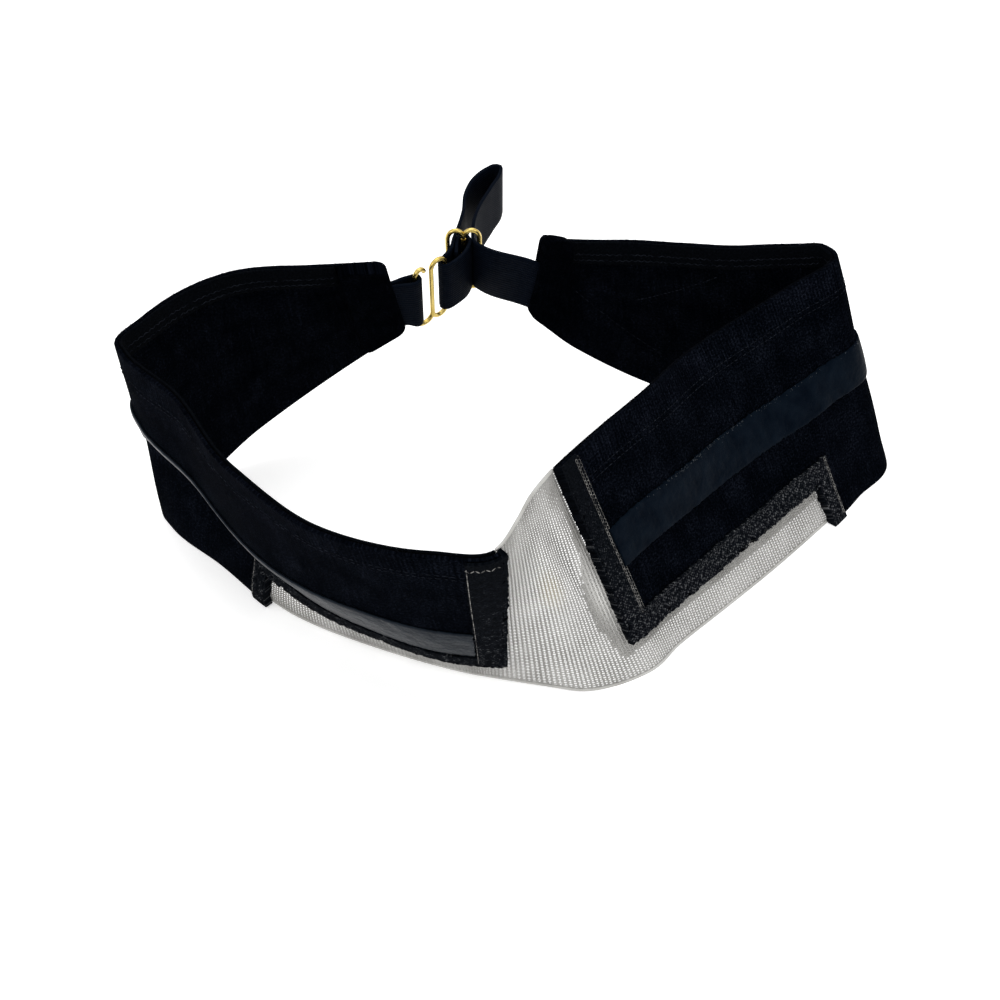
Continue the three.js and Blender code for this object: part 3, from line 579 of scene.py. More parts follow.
def lay_cloth(name, left, right, bottom, top, weave):
    bpy.ops.object.select_all(action="DESELECT")
    columns = max(1, round((right - left) / weave))
    rows = max(1, round((top - bottom) / weave))
    bpy.ops.mesh.primitive_grid_add(x_subdivisions=columns, y_subdivisions=rows, size=1)
    cloth = bpy.context.object
    cloth.name = name
    cloth.data.name = name
    cloth.scale = (right - left, top - bottom, 1)
    cloth.location = ((left + right) / 2, (bottom + top) / 2, 0)
    bpy.ops.object.transform_apply(location=True, rotation=True, scale=True)
    return cloth


def cut_lines(columns, rows):
    """Adds edges to the active cloth, up it at the columns and along it at the rows."""
    for point, across in [((x, 0, 0), (1, 0, 0)) for x in columns] + [((0, y, 0), (0, 1, 0)) for y in rows]:
        bpy.ops.object.mode_set(mode="EDIT")
        bpy.ops.mesh.select_all(action="SELECT")
        bpy.ops.mesh.bisect(plane_co=point, plane_no=across)
        bpy.ops.object.mode_set(mode="OBJECT")


def drop_faces(cloth, unwanted):
    bpy.ops.object.mode_set(mode="EDIT")
    bpy.context.tool_settings.mesh_select_mode = (False, False, True)
    bpy.ops.mesh.select_all(action="DESELECT")
    bpy.ops.object.mode_set(mode="OBJECT")
    for face in cloth.data.polygons:
        face.select = bool(unwanted(*face.center.xy))
    bpy.ops.object.mode_set(mode="EDIT")
    bpy.ops.mesh.delete(type="FACE")
    bpy.context.tool_settings.mesh_select_mode = (True, False, False)
    bpy.ops.object.mode_set(mode="OBJECT")


def apply_modifier(piece, kind, **settings):
    modifier = piece.modifiers.new(kind, kind)
    for key, value in settings.items():
        setattr(modifier, key, value)
    bpy.ops.object.modifier_apply(modifier=modifier.name)


def thicken(cloth, inner, outer, soft_edge):
    """Gives the cloth its wall, from inner to outer, with rounded edges."""
    apply_modifier(cloth, "SOLIDIFY", thickness=outer - inner, offset=1)
    if soft_edge:
        apply_modifier(cloth, "BEVEL", width=soft_edge, segments=2, limit_method="ANGLE",
                       angle_limit=math.radians(60))
    shift_points(cloth, (0, 0, inner))


def shift_points(piece, shift):
    piece.data.transform(Matrix.Translation(shift))


def round_corner(piece, corner, inward, reach):
    """Pulls the flat points near a square corner onto an oval arc that reaches that far."""
    for vertex in piece.data.vertices:
        x = (vertex.co.x - corner[0]) * inward[0] / reach[0]
        y = (vertex.co.y - corner[1]) * inward[1] / reach[1]
        if x >= 1 or y >= 1:
            continue
        far = math.hypot(1 - x, 1 - y)
        square = max(1 - x, 1 - y)
        vertex.co.x = corner[0] + inward[0] * reach[0] * (1 - (1 - x) * square / far)
        vertex.co.y = corner[1] + inward[1] * reach[1] * (1 - (1 - y) * square / far)


# %% Map and stand up the cloth
SMOOTH_ANGLE = math.radians(50)


def read_points(mesh):
    points = np.empty(len(mesh.vertices) * 3)
    mesh.vertices.foreach_get("co", points)
    return points.reshape(-1, 3)


def write_points(mesh, points):
    mesh.vertices.foreach_set("co", points.astype(np.float32).ravel())
    mesh.update()


def map_cloth(mesh):
    """Keeps the flat place of every corner, in millimetres, as the piece's map."""
    points = read_points(mesh)
    corners = np.empty(len(mesh.loops), int)
    mesh.loops.foreach_get("vertex_index", corners)
    layer = mesh.uv_layers.get("cloth") or mesh.uv_layers.new(name="cloth")
    layer.data.foreach_set("uv", points[corners][:, :2].astype(np.float32).ravel())
    for other in [x for x in mesh.uv_layers if x.name != "cloth"]:
        mesh.uv_layers.remove(other)


def finish_piece(piece, finish, slot, *nodes):
    piece.data.materials.clear()
    piece.data.materials.append(finish)
    select_only(piece)
    bpy.ops.object.shade_smooth_by_angle(angle=SMOOTH_ANGLE)
    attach(piece, "root")
    if nodes:
        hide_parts(*nodes)
    faces = sum(len(face.vertices) - 2 for face in piece.data.polygons)
    print(piece.name, "has", faces, "triangles")


def as_cut(along, height):
    return height


def tapered(along, height):
    return height * width_at(along) / BAND_WIDTH


def from_top(along, height):
    return width_at(along) - (BAND_WIDTH - height)


def on_grip(along, height):
    return grip_top_at(along) - GRIP_WIDTH + height


def cuff_heights(bottom):
    def in_cuff(along, height):
        return bottom + height / BAND_WIDTH * (width_at(along) + CUFF_RISE - bottom)

    return in_cuff


def stand_up(piece, heights):
    """Maps a flat piece and moves it to its place on the band."""
    map_cloth(piece.data)
    flat = read_points(piece.data)
    flat[:, 1] = heights(flat[:, 0], flat[:, 1])
    write_points(piece.data, band_points(flat) * MM)


def dress(piece, heights, finish, slot, *nodes):
    """Stands a flat piece up, gives it its finish and hides the nodes it replaces. The slot is not used."""
    stand_up(piece, heights)
    finish_piece(piece, finish, slot, *nodes)


# %% [markdown]
# ## Velvet panels
# Each panel runs from its back end to the net. It is full width at the back and is cut
# away over the net strip at the front, which leaves a notch in its lower edge.

# %% Velvet panels
VELVET_END = FRONT_NET / 2
LEFT_STEP = -VELVET_END - LEFT_NET_RUN
RIGHT_STEP = VELVET_END + RIGHT_NET_RUN
VELVET_WEAVE = 1.2
PANEL_CORNER = 2.5


def make_panel(name, left, right, notch_left, notch_right, step):
    panel = lay_cloth(name + "_cloth", left, right, 0, BAND_WIDTH, VELVET_WEAVE)
    cut_lines([step], [NET_DROP])
    drop_faces(panel, lambda x, y: notch_left < x < notch_right and y < NET_DROP)
    back_end = left if left < -VELVET_END else right
    inward = 1 if back_end == left else -1
    flat_share = BAND_WIDTH / float(width_at(back_end))
    for corner_height, upward in ((BAND_WIDTH, -1), (0, 1)):
        round_corner(panel, (back_end, corner_height), (inward, upward),
                     (PANEL_CORNER, PANEL_CORNER * flat_share))
    thicken(panel, 0, VELVET_WALL, 0.25)
    dress(panel, tapered, velvet, "velvet", name)
    return panel


left_panel = make_panel("velvet_left_panel", LEFT_END, -VELVET_END, LEFT_STEP, 0, LEFT_STEP)
right_panel = make_panel("velvet_right_panel", VELVET_END, RIGHT_END, 0, RIGHT_STEP, RIGHT_STEP)

# %% [markdown]
# ## The net
# The net is knitted in columns. Each column is a thick grey thread that hardly swings, and
# fine rungs tie it to its neighbours, which leaves ladders of small holes. Two columns
# with their rungs are modelled once. Array modifiers repeat them over the cloth, and what
# lies outside the cut shape is then deleted.

# %% One repeat of the net
COLUMN_PITCH = 0.95
ROW_PITCH = 0.64
SWING = 0.08
THREAD_THICK = 0.255
THREAD_THIN = 0.215
RUNG = 0.125
RUNG_SHIFT = 0.18


def add_ring(radius, place, turn):
    bpy.ops.mesh.primitive_circle_add(vertices=4, radius=radius, fill_type="NOTHING", location=place,
                                      rotation=turn)


def add_thread(left, swing):
    """One column of the repeat, drawn upwards by extruding a small ring."""
    add_ring(THREAD_THICK, (left + swing, 0, 0), (math.pi / 2, 0, 0))
    for shift, scale in [(-swing, THREAD_THIN), (-swing, THREAD_THICK), (swing, THREAD_THIN),
                         (swing, THREAD_THICK)]:
        bpy.ops.mesh.extrude_region_move(TRANSFORM_OT_translate={"value": (shift, ROW_PITCH / 2, 0)})
        grow = scale / (THREAD_THIN + THREAD_THICK - scale)
        bpy.ops.transform.resize(value=(grow, 1, grow))
    bpy.ops.mesh.select_all(action="DESELECT")


def add_rung(left, height):
    """A fine thread from the middle of one column to the next."""
    add_ring(RUNG, (left, height, 0), (0, math.pi / 2, 0))
    bpy.ops.mesh.extrude_region_move(TRANSFORM_OT_translate={"value": (COLUMN_PITCH, 0, 0)})
    bpy.ops.mesh.select_all(action="DESELECT")


repeat_mesh = bpy.data.meshes.new("front_net_threads")
net = bpy.data.objects.new("front_net_threads", repeat_mesh)
scene.collection.objects.link(net)
select_only(net)
bpy.ops.object.mode_set(mode="EDIT")
add_thread(0, SWING)
add_thread(COLUMN_PITCH, -SWING)
for rung_height in (0.25, 0.75):
    add_rung(0, 2 * ROW_PITCH * rung_height)
    add_rung(COLUMN_PITCH, 2 * ROW_PITCH * (rung_height - RUNG_SHIFT))
bpy.ops.object.mode_set(mode="OBJECT")
print("one repeat has", len(net.data.polygons), "faces")

# %% Repeat it over the cloth
SEAM = 2.5
net_left = LEFT_STEP - SEAM
net_right = RIGHT_STEP + SEAM
net_full = VELVET_END + SEAM
# Up the cloth first, where a column's lengths are merged, and then along the band.
for step, reach, merged in [
        ((0, 2 * ROW_PITCH, 0), BAND_WIDTH / (2 * ROW_PITCH), True),
        ((2 * COLUMN_PITCH, 0, 0), (net_right - net_left) / (2 * COLUMN_PITCH), False)]:
    apply_modifier(net, "ARRAY", use_relative_offset=False, use_constant_offset=True,
                   constant_offset_displace=step, count=math.ceil(reach), use_merge_vertices=merged,
                   merge_threshold=0.01)
shift_points(net, (net_left, 0, -LAYER_GAP - NET_WALL / 2))


PAST_THREAD = 0.4
first_full = math.floor((-net_full - net_left) / COLUMN_PITCH) + PAST_THREAD
last_full = math.floor((net_full - net_left) / COLUMN_PITCH) + PAST_THREAD
net_top = math.floor(BAND_WIDTH / ROW_PITCH) * ROW_PITCH
strip_top = math.ceil((NET_DROP + SEAM) / (2 * ROW_PITCH)) * 2 * ROW_PITCH


def off_the_net(x, y):
    """Cuts between the threads, so that no thread is split along its length."""
    column = (x - net_left) / COLUMN_PITCH
    return y > net_top or (y > strip_top and not first_full < column < last_full)


drop_faces(net, off_the_net)
bpy.ops.object.mode_set(mode="EDIT")
bpy.ops.mesh.select_all(action="SELECT")
bpy.ops.mesh.fill_holes(sides=6)
bpy.ops.mesh.select_all(action="SELECT")
bpy.ops.mesh.normals_make_consistent(inside=False)
bpy.ops.object.mode_set(mode="OBJECT")
dress(net, as_cut, net_yarn, "net", "front_net")

# %% [markdown]
# Cut edges of cloth are never quite straight, so a helper moves the points on them by a
# little seeded chance.


# %% Ragged edges
def ragged(cloth, amount, seed, wanted=lambda x, y: True):
    chance = np.random.default_rng(seed)
    counts = np.zeros(len(cloth.data.edges), int)
    keys = {edge.key: edge.index for edge in cloth.data.edges}
    for face in cloth.data.polygons:
        for key in face.edge_keys:
            counts[keys[key]] += 1
    rim = {corner for edge in cloth.data.edges if counts[edge.index] == 1 for corner in edge.vertices}
    for index in sorted(rim):
        point = cloth.data.vertices[index].co
        move = chance.normal(0, amount, 2)
        if wanted(point.x, point.y):
            point.x += move[0]
            point.y += move[1]


# %% [markdown]
# A cord of yarn is sewn into the net's free edges. Beside the right hem and below both
# panels a second layer lies behind the net, so it looks closed and smooth there.

# %% Edge cord and backing of the net
EDGE_CORD = 0.8
NET_OUTER = -LAYER_GAP
BACK_INNER = -LAYER_GAP - NET_WALL - 0.25
for edge_name, edge_left, edge_right, edge_height in [
        ("net_lower_edge_cord", LEFT_STEP, RIGHT_STEP, 0.0),
        ("net_upper_edge_cord", -VELVET_END, VELVET_END, BAND_WIDTH - EDGE_CORD)]:
    cord = lay_cloth(edge_name, edge_left, edge_right, edge_height, edge_height + EDGE_CORD, EDGE_CORD)
    thicken(cord, NET_OUTER - 0.75, NET_OUTER - 0.2, 0.14)
    dress(cord, as_cut, cord_yarn, "net")


def not_backing(x, y):
    """The second layer is wide beside the right hem's lower half and narrow elsewhere."""
    wide = 2.0 + 4.5 * math.exp(-((y - 22) / 12) ** 2)
    beside_right = VELVET_END - wide < x < VELVET_END and y > NET_DROP - 5
    below_right = VELVET_END <= x and NET_DROP - 4.2 < y < NET_DROP + SEAM
    below_left = x < -VELVET_END and NET_DROP - 1.5 < y < NET_DROP + SEAM
    return not (beside_right or below_right or below_left)


backing = lay_cloth("net_seam_backing", LEFT_STEP, RIGHT_STEP, 0, BAND_WIDTH - 1, 0.7)
drop_faces(backing, not_backing)
ragged(backing, 0.30, 5, lambda x, y: x < VELVET_END - 1 and y > NET_DROP)
thicken(backing, BACK_INNER, -LAYER_GAP - NET_WALL, 0)
dress(backing, as_cut, backing_yarn, "net")

# %% [markdown]
# ## Threads, stitches and loose fibres
# A stitch or a fibre is modelled once as a small mesh. A helper copies it to every place
# in a list and joins the copies into one flat mesh, which is then stood up like cloth.


# %% Copy a small shape to many places
def small_shape(name):
    """Takes the active primitive out of the scene and gives its points and faces."""
    shape = bpy.context.object
    bpy.ops.object.transform_apply(location=True, rotation=True, scale=True)
    points = read_points(shape.data)
    faces = [tuple(face.vertices) for face in shape.data.polygons]
    bpy.data.objects.remove(shape)
    print(name, "has", len(faces), "faces")
    return points, faces


def many(name, shape, matrices):
    """One mesh with a copy of the shape for each matrix."""
    points, faces = shape
    spread = np.concatenate([points, np.ones((len(points), 1))], axis=1)
    placed = np.concatenate([(spread @ np.array(matrix).T)[:, :3] for matrix in matrices])
    all_faces = [
        tuple(corner + copy * len(points) for corner in face)
        for copy in range(len(matrices)) for face in faces
    ]
    mesh = bpy.data.meshes.new(name)
    mesh.from_pydata(placed.tolist(), [], all_faces)
    piece = bpy.data.objects.new(name, mesh)
    scene.collection.objects.link(piece)
    return piece


def place_matrix(x, y, out, turn=0.0, size=1.0):
    return Matrix.Translation((x, y, out)) @ Matrix.Rotation(turn, 4, "Z") @ Matrix.Diagonal(
        (size, size, size, 1))


# %% The stitch and fibre shapes
bpy.ops.object.select_all(action="DESELECT")
bpy.ops.mesh.primitive_torus_add(major_segments=10, minor_segments=4, major_radius=0.34, minor_radius=0.065)
bpy.context.object.scale = (1.5, 0.9, 1)
chain_link = small_shape("chain link")
bpy.ops.mesh.primitive_uv_sphere_add(segments=6, ring_count=4, radius=1)
bpy.context.object.scale = (0.60, 0.10, 0.10)
plain_stitch = small_shape("plain stitch")
bpy.ops.mesh.primitive_cone_add(vertices=3, radius1=0.070, radius2=0.0, depth=1, location=(0, 0, 0.5))
fibre = small_shape("fibre")


def row_of(start, end, pitch, out, extra_turn=0.0):
    """Stitch places from start to end on the flat cloth."""
    start, end = Vector(start), Vector(end)
    count = max(1, round((end - start).length / pitch))
    turn = math.atan2(end.y - start.y, end.x - start.x)
    return [
        place_matrix(*start.lerp(end, (i + 0.5) / count), out, turn + extra_turn)
        for i in range(count)
    ]


def zigzag(start, end, pitch, reach, out):
    """Places of slanting stitches, which lean one way and the other in turn."""
    places = row_of(start, end, pitch, out)
    slant = math.radians(reach)
    return [place @ Matrix.Rotation(slant if i % 2 else -slant, 4, "Z") for i, place in enumerate(places)]


# %% [markdown]
# ## Front hems
# The velvet's cut end is turned over and sewn down with pale thread. The same hem runs on
# along the lower edge and down the notch, and is rolled round the velvet's cut edge.
# Its own edges are ragged.

# %% Front hems
HEM_INNER = VELVET_WALL + LAYER_GAP
HEM_OUTER = HEM_INNER + HEM_WALL
HEM_WEAVE = 0.9
HEM_ROLL = 0.9


def make_front_hem(name, side, step, lower_hem, cloth, seed):
    end = side * VELVET_END
    corner = end + side * FRONT_HEM
    low = NET_DROP + lower_hem
    far = step + side * STEP_HEM
    hem = lay_cloth(name + "_cloth", min(end, far), max(end, far), 0, BAND_WIDTH, HEM_WEAVE)
    cut_lines([corner, step], [NET_DROP, low])

    def off_the_hem(x, y):
        front = abs(x) < abs(corner) and y > NET_DROP
        lower_edge = abs(x) < abs(step) and NET_DROP < y < low
        notch = abs(x) > abs(step) and y < low
        return not (front or lower_edge or notch)

    drop_faces(hem, off_the_hem)
    ragged(hem, 0.16, seed, lambda x, y: 0.5 < y < BAND_WIDTH - 0.2)
    thicken(hem, HEM_INNER, HEM_OUTER, 0.15)
    dress(hem, as_cut, cloth, "hem", name)

    front = abs(end) - HEM_ROLL
    back = abs(step) - HEM_ROLL
    roll_left, roll_right = sorted((side * front, step))
    roll = lay_cloth(name + "_rolled_edge", roll_left, roll_right, 0, BAND_WIDTH, 0.6)
    cut_lines([end, side * back], [NET_DROP - HEM_ROLL, NET_DROP])

    def off_the_roll(x, y):
        beside = abs(x) < abs(end) and y > NET_DROP - HEM_ROLL
        below = abs(x) < abs(step) and NET_DROP - HEM_ROLL < y < NET_DROP
        notch = abs(x) > back and y < NET_DROP
        return not (beside or below or notch)

    drop_faces(roll, off_the_roll)
    ragged(roll, 0.20, seed + 50, lambda x, y: 0.6 < y < BAND_WIDTH - 0.3)
    thicken(roll, -0.25, HEM_OUTER - 0.05, 0.12)
    dress(roll, as_cut, cloth, "hem")
    return hem


left_front_hem = make_front_hem("left_front_hem", -1, LEFT_STEP, LEFT_LOWER_HEM, left_hem_cloth, 11)
right_front_hem = make_front_hem("right_front_hem", 1, RIGHT_STEP, RIGHT_LOWER_HEM, right_hem_cloth, 12)

# %% Stitches on the right front hem
ON_HEM = HEM_OUTER + 0.05
ON_VELVET = VELVET_WALL + 0.10
right_corner = VELVET_END + FRONT_HEM
right_low = NET_DROP + RIGHT_LOWER_HEM
right_chain = (
    row_of((right_corner - 0.7, 59), (right_corner - 0.7, right_low), 0.95, ON_HEM)
    + row_of((right_corner + 0.7, 59), (right_corner + 0.7, right_low), 0.95, ON_VELVET + 0.1)
    + row_of((RIGHT_STEP + STEP_HEM - 0.6, right_low), (RIGHT_STEP + STEP_HEM - 0.6, 0.4), 0.95, ON_HEM)
)
dress(many("right_hem_chain", chain_link, right_chain), as_cut, pale_thread, "hem")
right_plain = row_of((right_corner, right_low - 0.6), (RIGHT_STEP, right_low - 0.6), 1.3, ON_HEM)
dress(many("right_hem_stitches", plain_stitch, right_plain), as_cut, dim_thread, "hem")

# %% Stitches on the left front hem
left_corner = -VELVET_END - FRONT_HEM
left_low = NET_DROP + LEFT_LOWER_HEM
left_far = LEFT_STEP - STEP_HEM
left_plain = (
    row_of((left_corner + 0.3, 58), (left_corner + 0.3, NET_DROP + 0.5), 1.0, ON_HEM)
    + zigzag((left_corner, 57.3), (-VELVET_END - 0.4, 57.3), 0.75, 55, ON_HEM)
    + row_of((left_far + 0.5, left_low), (left_far + 0.5, 2), 1.3, ON_HEM)
)
dress(many("left_hem_stitches", plain_stitch, left_plain), as_cut, pale_thread, "hem")

# %% [markdown]
# ## Top hems
# Along the top the velvet is folded to the inside. Slanting stitches hold it there, and
# show outside as two straight rows.

# %% Top hems
HEM_START = VELVET_END + 0.4
TOP_INNER = -LAYER_GAP - HEM_WALL


def make_top_hem(name, left, right, seed):
    hem = lay_cloth(name + "_cloth", left, right, BAND_WIDTH - TOP_HEM, BAND_WIDTH, HEM_WEAVE)
    ragged(hem, 0.12, seed, lambda x, y: y < BAND_WIDTH - 1)
    thicken(hem, TOP_INNER, -LAYER_GAP, 0.15)
    dress(hem, from_top, top_hem_cloth, "hem", name)
    inside = []
    outside = []
    for depth in (TOP_HEM - 1.2, TOP_HEM - 3.0):
        height = BAND_WIDTH - depth
        inside += zigzag((left + 1, height), (right - 1, height), 0.9, 28, TOP_INNER - 0.05)
    for depth in (TOP_HEM + 0.7, TOP_HEM + 2.1):
        height = BAND_WIDTH - depth
        outside += row_of((left + 1, height), (right - 1, height), 1.5, ON_VELVET - 0.04)
    for row_name, rows in (("_inner_stitches", inside), ("_outer_stitches", outside)):
        dress(many(name + row_name, plain_stitch, rows), from_top, seam_thread, "hem")
    return hem


left_top = make_top_hem("left_top_hem", LEFT_END + CUFF_LENGTH + LAYER_GAP, -HEM_START, 21)
right_top = make_top_hem("right_top_hem", HEM_START, RIGHT_END - CUFF_LENGTH - LAYER_GAP, 22)

# %% [markdown]
# Two short seams cross the inside of the right panel near its back end.

# %% Seams inside the right panel
INNER_SEAMS = [((202.5, 18.8), (179.0, 12.2)), ((185.0, 26.5), (161.5, 44.0))]
seam_places = [place for start, end in INNER_SEAMS for place in row_of(start, end, 1.4, -0.05)]
dress(many("right_inner_seams", plain_stitch, seam_places), as_cut, seam_thread, "hem")

# %% [markdown]
# ## Grip strips
# The strips are printed on, so their edges wander, and the right one carries small beads
# of film. A strip's middle is slightly raised.

# %% Grip strips
GRIP_START = VELVET_END + FRONT_HEM + LAYER_GAP
GRIP_WEAVE = 0.8
GRIP_CROWN = 0.25


def make_grip(name, left, right, film, seed):
    strip = lay_cloth(name + "_film", left, right, 0, GRIP_WIDTH, GRIP_WEAVE)
    ragged(strip, 0.10, seed)
    thicken(strip, HEM_INNER - LAYER_GAP, HEM_INNER + GRIP_WALL, 0.3)
    points = read_points(strip.data)
    share = np.clip(points[:, 1] / GRIP_WIDTH, 0, 1)
    points[:, 2] += GRIP_CROWN * (4 * share * (1 - share) - 1) * (points[:, 2] > HEM_INNER)
    write_points(strip.data, points)
    dress(strip, on_grip, film, "grip", name)
    return strip


left_grip = make_grip("left_grip_strip", LEFT_END + LAYER_GAP, -GRIP_START, left_film, 31)
right_grip = make_grip("right_grip_strip", GRIP_START, RIGHT_END - LAYER_GAP, right_film, 32)

# %% Beads along the right strip
bpy.ops.object.select_all(action="DESELECT")
bpy.ops.mesh.primitive_ico_sphere_add(subdivisions=1, radius=1)
bpy.context.object.scale = (1, 0.8, 0.5)
bead = small_shape("bead")
bead_chance = np.random.default_rng(33)
bead_places = []
BEAD_COUNT = 150
for _ in range(BEAD_COUNT):
    along = min(GRIP_START + 1 + bead_chance.gamma(5.0, 9.0), 120)
    height = GRIP_WIDTH - abs(bead_chance.normal(0, 0.5))
    bead_places.append(place_matrix(along, height, HEM_INNER + GRIP_WALL - 0.2, bead_chance.uniform(0, 3),
                                    bead_chance.uniform(0.08, 0.24)))
dress(many("right_grip_beads", bead, bead_places), on_grip, bead_film, "grip")

# %% [markdown]
# ## Cuffs
# At each back end the velvet is folded over the strap and sewn. A cuff is a thick flat
# piece with a slot cut into it by a second, thinner piece, and rounded folds.

# %% Cuffs
SLOT_INSET = LAYER_GAP + CUFF_WALL
SLOT_HALF = STRAP_WIDTH / 2 + SLOT_GAP
CUFF_WEAVE = 1.0
CUFF_FOLD = 0.85
CUFF_CORNER = 2.8


def slot_depth(plies):
    return plies * STRAP_WALL + (plies + 1) * SLOT_GAP


def make_cuff(name, end, side, plies, drop):
    depth = slot_depth(plies)
    inner = end - side * CUFF_LENGTH
    middle = float(width_at(end)) / 2 - drop
    bottom = middle - SLOT_HALF - CUFF_MARGIN
    flat_share = BAND_WIDTH / (float(width_at(end)) + CUFF_RISE - bottom)
    cuff = lay_cloth(name + "_cloth", min(end, inner), max(end, inner), 0, BAND_WIDTH, CUFF_WEAVE)
    for corner_height, upward in ((BAND_WIDTH, -1), (0, 1)):
        round_corner(cuff, (end, corner_height), (-side, upward), (CUFF_CORNER, CUFF_CORNER * flat_share))
        round_corner(cuff, (inner, corner_height), (side, upward), (CUFF_CORNER, CUFF_CORNER * flat_share))
    thicken(cuff, -SLOT_INSET - depth - CUFF_WALL, -LAYER_GAP, CUFF_FOLD)
    mouth = end + side * 2
    closed = end - side * (STRAP_TUCK + LAYER_GAP)
    low = (middle - SLOT_HALF - bottom) * flat_share
    high = (middle + SLOT_HALF - bottom) * flat_share
    slot = lay_cloth("slot", min(mouth, closed), max(mouth, closed), low, high, 1.0)
    thicken(slot, -SLOT_INSET - depth, -SLOT_INSET, 0)
    select_only(cuff)
    apply_modifier(cuff, "BOOLEAN", operation="DIFFERENCE", solver="EXACT", object=slot)
    bpy.data.objects.remove(slot)
    dress(cuff, cuff_heights(bottom), cuff_velvet, "velvet", name)
    return cuff


left_cuff = make_cuff("left_end_cuff", LEFT_END, -1, 2, 0)
right_cuff = make_cuff("right_end_cuff", RIGHT_END, 1, 1, RIGHT_STRAP_DROP)

# %% [markdown]
# ## Hook and slider
# Both are bent from round wire. Each is drawn as a path in its own upright plane, given
# the wire's thickness, made a mesh and set into a frame between the band's two ends.

# %% Frames for the metal
HOOK_PLACE = {"across": 0.260, "back": 0.090, "rise": -0.04, "turn": 40, "lean": 10}
SLIDER_PLACE = {"across": 0.490, "back": 0.390, "rise": 0.09, "turn": 3, "lean": 8}
left_middle = Vector(fine_middle[0])
right_middle = Vector(fine_middle[-1])
gap = (right_middle - left_middle).xy.length


def metal_frame(across, back, rise, turn, lean):
    centre = left_middle.lerp(right_middle, across)
    centre.z = left_middle.z + rise * STRAP_WIDTH
    centre.y += back * gap
    lean_angle, turn_angle = math.radians(lean), math.radians(turn)
    up = Vector((0, -math.sin(lean_angle), math.cos(lean_angle)))
    behind = up.cross(Vector((math.cos(turn_angle), math.sin(turn_angle), 0))).normalized()
    return {"centre": centre + Vector(STANDING_SHIFT), "up": up,
            "along": behind.cross(up).normalized(), "behind": behind}


hook_frame = metal_frame(**HOOK_PLACE)
slider_frame = metal_frame(**SLIDER_PLACE)


def in_frame(place, along, behind, up=0.0):
    return place["centre"] + place["along"] * along + place["behind"] * behind + place["up"] * up


# %% Bend the wire
BAR_HALF = STRAP_WIDTH / 2 + BAR_END_PLAY + WIRE / 2
CORNER = 1.5


def arch(left, right, sign, rise, until=1.0):
    """Path of one rounded end, from the bar at the left to the bar at the right."""
    middle, half = (left + right) / 2, (right - left) / 2
    path = []
    for i in range(17):
        angle = math.pi * i / 16 * until
        height = BAR_HALF - CORNER + (CORNER + rise) * math.sin(angle)
        path.append((middle - half * math.cos(angle), 0, sign * height))
    return path


def bend_wire(name, paths, place, node):
    """paths holds pairs of a list of points and whether it closes on itself."""
    curve = bpy.data.curves.new(name, "CURVE")
    curve.dimensions = "3D"
    curve.bevel_depth = WIRE / 2
    curve.bevel_resolution = 3
    curve.use_fill_caps = True
    for points, closed in paths:
        spline = curve.splines.new("POLY")
        spline.points.add(len(points) - 1)
        for bend, point in zip(spline.points, points):
            bend.co = (*point, 1)
        spline.use_cyclic_u = closed
    wire = bpy.data.objects.new(name, curve)
    scene.collection.objects.link(wire)
    select_only(wire)
    bpy.ops.object.convert(target="MESH")
    wire = bpy.context.object
    axes = Matrix([place["along"], place["behind"], place["up"]]).transposed().to_4x4()
    wire.data.transform(Matrix.Scale(MM, 4) @ Matrix.Translation(place["centre"]) @ axes)
    finish_piece(wire, gold_wire, "gold", node)


def straight(x, low, high):
    return [(x, 0, low + (high - low) * i / 4) for i in range(5)]


bar_end = BAR_HALF - CORNER
slider_ring = (
    arch(-SLIDER_PITCH, 0, 1, SLIDER_ARCH) + arch(0, SLIDER_PITCH, 1, SLIDER_ARCH)[1:]
    + arch(SLIDER_PITCH, 0, -1, 0.1) + arch(0, -SLIDER_PITCH, -1, 0.1)[1:]
)
bend_wire("slider_wire", [
    (slider_ring, True),
    (straight(0, -bar_end, bar_end), False),
], slider_frame, "strap_slider")
hook_eye = arch(0, HOOK_EYE, 1, HOOK_ARCH) + arch(HOOK_EYE, 0, -1, HOOK_ARCH)
hook_lobe = arch(0, -HOOK_LOBE, -1, HOOK_ARCH) + arch(-HOOK_LOBE, -WIRE - HOOK_MOUTH, 1, HOOK_ARCH, 0.86)
bend_wire("hook_wire", [(hook_eye, True), (hook_lobe, False)], hook_frame, "strap_hook")

# %% [markdown]
# ## Elastic straps
# A strap is a flat tape on edge. It is laid out flat like the cloth, then every point is
# carried along a route of middle points, each with the tape's own upward direction. The
# routes wrap round the bars of the hook and the slider as the solids do.

# %% Routes of the straps
WRAP_RADIUS = WIRE / 2 + BAR_CLEARANCE + STRAP_WALL / 2
SECOND_PLY = WRAP_RADIUS + STRAP_WALL + LAYER_GAP
CLOSED_UP = 0.25
STRAP_DROP = 0.45


def wrap(place, along, from_angle, to_angle, count, slack=0.0, drop=0.0):
    stops = []
    radius = WRAP_RADIUS + slack
    for i in range(count + 1):
        angle = math.radians(from_angle + (to_angle - from_angle) * i / count)
        x, y = radius * math.cos(angle), radius * math.sin(angle)
        stops.append((in_frame(place, along + x, y, -drop), place["up"]))
    return stops


def route_point(place, along, behind, drop=0.0):
    return in_frame(place, along, behind, -drop), place["up"]


def tucked_ply(end, side, ply, drop=0.0):
    out = -SLOT_INSET - SLOT_GAP - STRAP_WALL / 2 - ply * (STRAP_WALL + SLOT_GAP)
    stops = []
    for i in range(5):
        along = end - side * STRAP_TUCK * (1 - i / 4)
        flat = np.array([[along, float(width_at(along)) / 2 - drop, out]])
        up = section_at(place_of(np.array([along])))[1][0]
        stops.append((Vector(band_points(flat)[0]), Vector(up)))
    return stops


